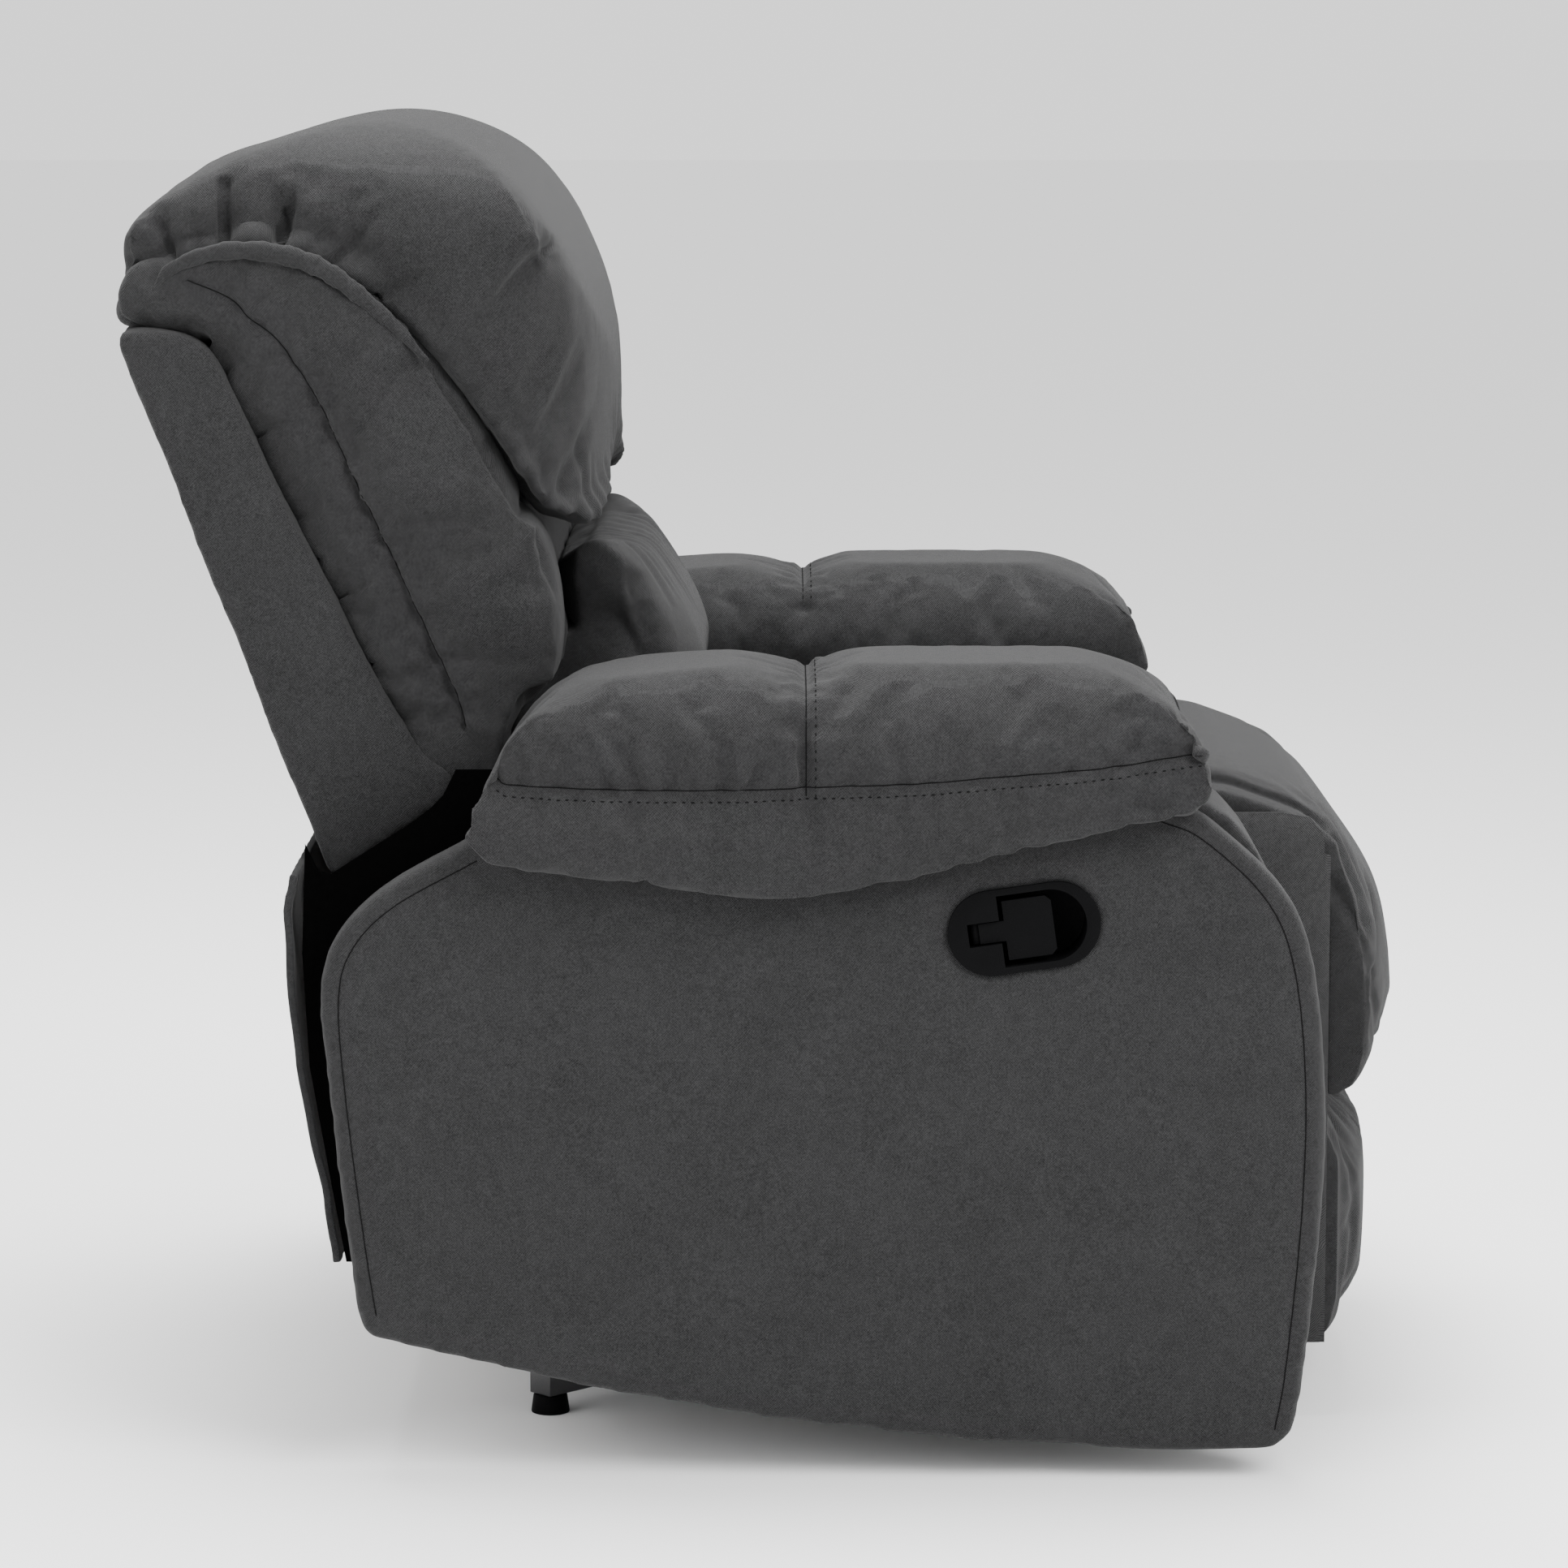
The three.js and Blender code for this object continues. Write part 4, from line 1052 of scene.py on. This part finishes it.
def wing_cover():
    node = "wing_left"
    toward = (1, 0, 0)
    wing = rounded(wing_body(), 0.006, 6, 0.009,
                   lambda normals: np.clip(-normals[:, 1] * 2 - 0.6, 0, 1))
    seam = [at(node, 0, fy, fz) for fy, fz in WING_SEAM]
    path = seam_line(wing, seam, toward)

    def held(points):
        return np.maximum(np.exp(-(path_distance(points, path)[0] / 0.006) ** 2),
                          (points[:, 0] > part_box(node)[1].x - 0.012) * 1.0)

    fill_out(wing, held, pressure=6, spare=0.05, cap=0.014)
    path = seam_line(wing, seam, toward)
    sew(wing, path, depth=0.0035, width=0.004, pucker=0.0011, every=0.03, reach=0.03)
    shell_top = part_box("back_side_left")[1].z
    points = points_of(wing)
    normals = normals_of(wing)
    rearward = np.clip(normals[:, 1], 0, 1) * np.clip((shell_top - 0.012 - points[:, 2]) / 0.03, 0, 1)
    reshape(wing, points + 0.010 * normals * rearward[:, None])
    crinkle = random.Random(3)
    for k in range(16):
        t = (k + 0.5) / 16
        fy, fz = [np.interp(t, np.linspace(0, 1, len(WING_SEAM)), [p[i] for p in WING_SEAM])
                  for i in (0, 1)]
        reach = crinkle.uniform(0.06, 0.15) * (-1 if k % 3 == 0 else 1)
        places = [at(node, 0, fy + 0.012 * np.sign(reach), fz),
                  at(node, 0, fy + reach, fz + crinkle.uniform(-0.03, 0.04))]
        crinkle_at(wing, places, toward, crinkle, (0.0012, 0.003), (0.004, 0.007))
    return wing, seam


wing, wing_seam = wing_cover()
wings = {"left": wing, "right": mirrored(wing, "wing_cover_right")}
for side, sign in (("left", 1), ("right", -1)):
    cover = finish_soft(wings[side], "back", f"wing_{side}", fill=0.7)
    places = [Vector((sign * p.x, p.y, p.z)) for p in wing_seam]
    seam_thread_shade_line(f"wing_seam_{side}", cover, places, (sign, 0, 0), "back")


# ------------------------------------------------------------------ back core and lumbar pillow
# A foam core fills the back between the wings. The lumbar pillow is a fibre filled roll in front of it.
def core_cover():
    core = rounded(solid_copy("back_core_cover", "back_core"), 0.009, 5)
    return finish_soft(core, "back", "back_core", fill=0.9, slot="lining")


def lumbar_cover():
    node = "lumbar_pillow"
    low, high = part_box(node)
    whole = solid_copy("lumbar_cover", node)
    tuck = [(low.y + 0.045, low.z + 0.002), (high.y - 0.012, low.z - 0.034), (high.y - 0.006, 0.60),
            (low.y + 0.045, 0.60)]
    add_solid(whole, side_prism("lumbar_tuck", tuck, low.x + 0.004, high.x - 0.004))
    pillow = rounded(whole, 0.006, 9)
    points = points_of(pillow)
    side = np.abs(points[:, 0]) / high.x
    pinch = 0.030 * np.clip(side - 0.55, 0, 1) ** 1.6 / 0.45 ** 1.6
    points[:, 1] += pinch * np.clip(((low.y + high.y) / 2 - points[:, 1]) / (high.y - low.y) * 2, 0, 1)
    reshape(pillow, points)

    def held(points):
        return (points[:, 1] > high.y - 0.05) * 1.0

    fill_out(pillow, held, pressure=5, spare=0.04, cap=0.012)
    crinkle = random.Random(11)
    for k in range(12):
        fx = 0.08 + 0.84 * (k + 0.5) / 12
        places = [at(node, fx, 0, 0.93), at(node, fx + crinkle.uniform(-0.03, 0.03), 0,
                                            0.93 - crinkle.uniform(0.15, 0.4))]
        crinkle_at(pillow, places, (0, 1, 0), crinkle, (0.001, 0.0024), 0.007)
    return finish_soft(pillow, "back", node, fill=0.7)


core_cover()
lumbar_cover()


# ------------------------------------------------------------------ head pillow
# One big fibre filled pillow is folded over the top of the back. Its ends are gathered onto a curved
# seam round the top of each wing, and the cloth fans out from there in pleats.
# Each pleat goes from one place to another, in fractions along and up the pillow, and has a depth.
PLEATS = [(0.776, 0.700, 0.776, 0.880, 0.0065), (0.668, 0.690, 0.620, 0.905, 0.0085),
          (0.575, 0.640, 0.448, 0.806, 0.0085), (0.500, 0.560, 0.326, 0.668, 0.0075),
          (0.880, 0.680, 0.906, 0.783, 0.0050), (0.912, 0.620, 0.981, 0.691, 0.0045),
          (0.826, 0.700, 0.842, 0.800, 0.0030), (0.615, 0.665, 0.560, 0.780, 0.0030)]


def head_cover():
    node = "head_pillow"
    low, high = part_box(node)
    shell_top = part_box("back_panel")[1].z
    rear = [(0.395, shell_top + 0.002), (high.y - 0.004, shell_top + 0.002),
            (high.y + 0.004, shell_top + 0.028), (high.y - 0.006, shell_top + 0.075),
            (0.395, shell_top + 0.09)]
    whole = solid_copy("head_pillow_cover", node)
    add_solid(whole, side_prism("pillow_rear", rear, low.x + 0.012, high.x - 0.012))
    pillow = rounded(whole, 0.0065, 12, 0.010,
                     lambda normals: (np.clip(normals[:, 2] * 3 + 1.2, 0, 1)
                                      - 0.8 * np.clip(-normals[:, 2] * 3 - 0.9, 0, 1)))
    seam_x = high.x * 0.93

    def held(points):
        seam = (np.abs(points[:, 0]) > seam_x) * (normals_of(pillow)[:, 2] < -0.3)
        rear = (points[:, 1] > high.y - 0.02) & (points[:, 2] < low.z + 0.6 * (high.z - low.z))
        return np.maximum(seam * 1.0, rear * 1.0)

    fill_out(pillow, held, pressure=6, spare=0.06, cap=0.015)
    for sign in (-1, 1):
        for fy, fz, to_y, to_z, depth in PLEATS:
            places = [at(node, 0, fy + (to_y - fy) * t, fz + (to_z - fz) * t) for t in (0, 0.5, 1)]
            hits = seam_line(pillow, places, (-sign, 0, 0))
            if len(hits) > 1:
                fold(pillow, hits, depth=0.55 * depth, width=0.0028, lip=0.3, fade=0.6)
                fold(pillow, hits, depth=0.6 * depth, width=0.0085, lip=0.5, fade=0.9)
    crinkle = random.Random(5)
    for k in range(26):
        fx = (k + 0.5) / 26
        fz = 0.06
        places = [at(node, fx, 0, fz), at(node, fx + crinkle.uniform(-0.02, 0.02), 0,
                                          fz + crinkle.uniform(0.08, 0.26))]
        crinkle_at(pillow, places, (0, 1, 0), crinkle, (0.001, 0.0035), (0.005, 0.008))
    return finish_soft(pillow, "back", node, fill=0.75)


head_cover()


# A narrow rolled band finishes the gathered edge of the pillow over the top of each wing.
BAND_PATH = [(0.915, 0.600), (0.880, 0.655), (0.79, 0.695), (0.694, 0.698), (0.611, 0.676),
             (0.550, 0.640), (0.485, 0.580), (0.415, 0.505), (0.360, 0.430)]


def gather_band(side, sign):
    node = "head_pillow"
    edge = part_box(f"wing_{side}")[0 if sign < 0 else 1].x
    path = smooth_line([(edge - sign * 0.002, at(node, 0, fy, 0).y, at(node, 0, 0, fz).z)
                        for fy, fz in BAND_PATH], 10)
    bm = bmesh.new()
    rings = []
    around = 14
    for k, point in enumerate(path):
        f = k / (len(path) - 1)
        ahead = (path[min(k + 1, len(path) - 1)] - path[max(k - 1, 0)]).normalized()
        outward = Vector((sign, 0, 0))
        upward = outward.cross(ahead).normalized()
        size = 0.0062 * math.sin(math.pi * min(max(f, 0.04), 0.96)) ** 0.5
        size *= 1 + 0.08 * math.sin(k * 0.9) + 0.05 * math.sin(k * 2.3 + 1)
        ring = [bm.verts.new(point + size * (1.2 * upward * math.cos(a) + 0.75 * outward * math.sin(a)))
                for a in np.linspace(0, 2 * math.pi, around, endpoint=False)]
        rings.append(ring)
    for one, two in zip(rings, rings[1:]):
        for i in range(around):
            bm.faces.new((one[i], one[(i + 1) % around], two[(i + 1) % around], two[i]))
    bm.faces.new(rings[0][::-1])
    bm.faces.new(rings[-1])
    bmesh.ops.recalc_face_normals(bm, faces=bm.faces)
    mesh = bpy.data.meshes.new(f"gather_band_{side}")
    bm.to_mesh(mesh)
    bm.free()
    band = new_piece(f"gather_band_{side}", mesh, CLOTH, "back")


for side, sign in SIDES:
    gather_band(side, sign)


# ------------------------------------------------------------------ seat and calf cover
# The seat cushion and the upper footrest pad are one chaise cover: a rolled front edge falls from the
# seat to the calf.
FOOTREST_PIVOT = next(joint for joint in frame["joints"] if joint["name"] == "footrest_open")["pos_m"]


def chaise():
    seat_low, seat_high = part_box("seat_cushion")
    calf_low, calf_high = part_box("calf_pad")
    roll = smooth_line([(0, seat_low.y + 0.055, seat_high.z - 0.004),
                        (0, calf_high.y + 0.002, seat_high.z - 0.032),
                        (0, calf_low.y + 0.037, seat_high.z - 0.072),
                        (0, calf_low.y + 0.011, seat_high.z - 0.115),
                        (0, calf_low.y + 0.001, seat_high.z - 0.165),
                        (0, calf_low.y + 0.002, calf_low.z + 0.045),
                        (0, calf_low.y + 0.020, calf_low.z + 0.012),
                        (0, calf_high.y - 0.014, calf_low.z + 0.001)], 4)
    front = [(p.y, p.z) for p in roll if p.y < calf_high.y]
    face = [(calf_high.y, front[0][1]), *front, (calf_high.y, calf_low.z + 0.003)]
    rear = [(seat_high.y, seat_low.z), (seat_high.y, seat_high.z - 0.015),
            (seat_high.y - 0.03, seat_high.z - 0.003), (seat_low.y + 0.2, seat_high.z),
            *[(p.y, p.z) for p in roll if p.y >= calf_high.y],
            (calf_high.y - 0.002, front[0][1]), (calf_high.y - 0.002, calf_high.z - 0.03),
            (seat_low.y, seat_low.z)]
    seat_part = side_prism("chaise_cover", rear, seat_low.x, seat_high.x)
    front_part = side_prism("chaise_front", face, calf_low.x, calf_high.x)
    add_solid(seat_part, front_part)
    lip_rear = seat_low.y + 0.125
    lip = [(lip_rear, seat_high.z - 0.09), (lip_rear, seat_high.z - 0.004),
           *[(p.y, p.z - 0.002) for p in roll if p.y >= calf_high.y - 0.002],
           (calf_high.y - 0.003, seat_high.z - 0.075), (calf_high.y + 0.02, seat_high.z - 0.095)]
    add_solid(seat_part, side_prism("chaise_lip", lip, calf_low.x - 0.005, calf_high.x + 0.005))
    cover = rounded(seat_part, 0.0065, 8, 0.006)
    points = points_of(cover)
    ahead = np.clip((calf_high.y - 0.01 - points[:, 1]) / 0.05, 0, 1)
    points[:, 1] += 0.026 * (points[:, 0] / calf_high.x) ** 2 * ahead
    reshape(cover, points)

    def held(points):
        below = points[:, 2] < seat_low.z + 0.02
        boxed = (np.abs(points[:, 0]) > seat_high.x - 0.02) & (points[:, 1] > seat_low.y)
        behind = points[:, 1] > calf_high.y - 0.012
        ends = np.abs(points[:, 0]) > calf_high.x - 0.010
        return ((below & behind) | boxed | ends) * 1.0

    fill_out(cover, held, pressure=5, spare=0.05, cap=0.013)
    hem = [(p.y + 0.022, p.z - 0.018) for p in roll[3:]]
    for sign in (-1, 1):
        path = seam_line(cover, [(0, y, z) for y, z in hem[::4]], (-sign, 0, 0))
        if len(path) > 2:
            sew(cover, path, depth=0.003, width=0.005, pucker=0.0008, every=0.036, reach=0.025)
    crinkle = random.Random(21)
    for k in range(20):
        fx = (k + 0.5) / 20
        start = calf_low.z + 0.02
        x = calf_low.x + fx * (calf_high.x - calf_low.x)
        places = [(x, -1, start), (x + crinkle.uniform(-0.012, 0.012), -1,
                                   start + crinkle.uniform(0.03, 0.09))]
        hits = [h for h, _ in drawn_on(cover, [Vector(p) + Vector((0, 0.6, 0)) for p in places], (0, 1, 0))]
        if len(hits) > 1:
            fold(cover, smooth_line(hits), depth=crinkle.uniform(0.001, 0.003), width=0.006)
    finish_soft(cover, None, "seat_cushion", "calf_pad", fill=0.75)
    _, pivot_y, pivot_z = FOOTREST_PIVOT
    pivot_y + 0.05
    pivot_z + 0.05
    pivot_y - 0.04
    pivot_z - 0.04
    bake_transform(cover)


chaise()


# Flaps of cover cloth hang at both sides and hide the footrest links: one from the seat, one sewn to the
# back of the footrest pads.
def side_flaps(side, sign):
    board_low, board_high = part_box("footrest_board")
    plate_low, plate_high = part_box(f"seat_side_plate_{side}")
    _, pivot_y, pivot_z = FOOTREST_PIVOT
    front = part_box("calf_pad")[1].y - 0.007
    calf = [(front, board_low.z - 0.001), (board_high.y + 0.002, board_low.z - 0.001),
            (board_high.y + 0.012, 0.20), (board_high.y + 0.012, pivot_z - 0.02),
            (pivot_y + 0.008, pivot_z - 0.004), (front, pivot_z - 0.012)]
    flat_sheet(f"footrest_flap_{side}", calf, sign * 0.2485, CLOTH, "footrest", 0.002)
    seat = [(plate_low.y + 0.03, plate_high.z + 0.010), (plate_low.y + 0.008, plate_high.z + 0.006),
            (plate_low.y - 0.003, plate_high.z - 0.008), (plate_low.y - 0.004, pivot_z - 0.04),
            (plate_low.y + 0.012, pivot_z - 0.08), (plate_low.y + 0.04, 0.29), (-0.20, 0.28),
            (-0.20, plate_high.z + 0.010)]
    flat_sheet(f"seat_flap_{side}", seat, sign * 0.2515, CLOTH, "seat", 0.002)


for side, sign in SIDES:
    side_flaps(side, sign)


# Strips of cover cloth are stapled over the board, behind the crease between the two pads and round its
# lower edge.
BOARD_LOW, BOARD_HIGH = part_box("footrest_board")
FOOT_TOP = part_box("foot_pad")[1].z


def board_strip(name, low_corner, high_corner):
    """A strip across the board between two opposite (y, z) corners."""
    reach = BOARD_HIGH.x + 0.003
    (y0, z0), (y1, z1) = low_corner, high_corner
    strip = side_prism(name, [(y0, z0), (y1, z0), (y1, z1), (y0, z1)], -reach, reach)
    dress(strip, CLOTH)
    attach(strip, "footrest")


board_strip("crease_strip", (BOARD_LOW.y - 0.0026, FOOT_TOP - 0.030),
            (BOARD_LOW.y - 0.0006, FOOT_TOP + 0.034))
board_strip("board_edge_strip", (BOARD_LOW.y - 0.004, BOARD_LOW.z - 0.0026),
            (BOARD_HIGH.y + 0.002, BOARD_LOW.z - 0.0006))


def foot_cover():
    node = "foot_pad"
    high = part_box(node)[1]
    pad = rounded(solid_copy("foot_pad_cover", node), 0.006, 6, 0.005)
    points = points_of(pad)
    points[:, 1] += 0.024 * (points[:, 0] / high.x) ** 2 * np.clip((high.y - points[:, 1]) / 0.03, 0, 1)
    reshape(pad, points)

    def held(points):
        ends = np.abs(points[:, 0]) > high.x - 0.012
        return ((points[:, 1] > high.y - 0.01) | ends) * 1.0

    fill_out(pad, held, pressure=5, spare=0.05, cap=0.012)
    crinkle = random.Random(31)
    for k in range(22):
        fx = (k + 0.5) / 22
        top = k % 2 == 0
        start = 0.9 if top else 0.1
        stretch = crinkle.uniform(0.1, 0.35) * (-1 if top else 1)
        places = [at(node, fx, 0, start), at(node, fx + crinkle.uniform(-0.02, 0.02), 0, start + stretch)]
        crinkle_at(pad, places, (0, 1, 0), crinkle, (0.001, 0.003), 0.006)
    return finish_soft(pad, "footrest", node, fill=0.75)


foot_cover()

low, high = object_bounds()
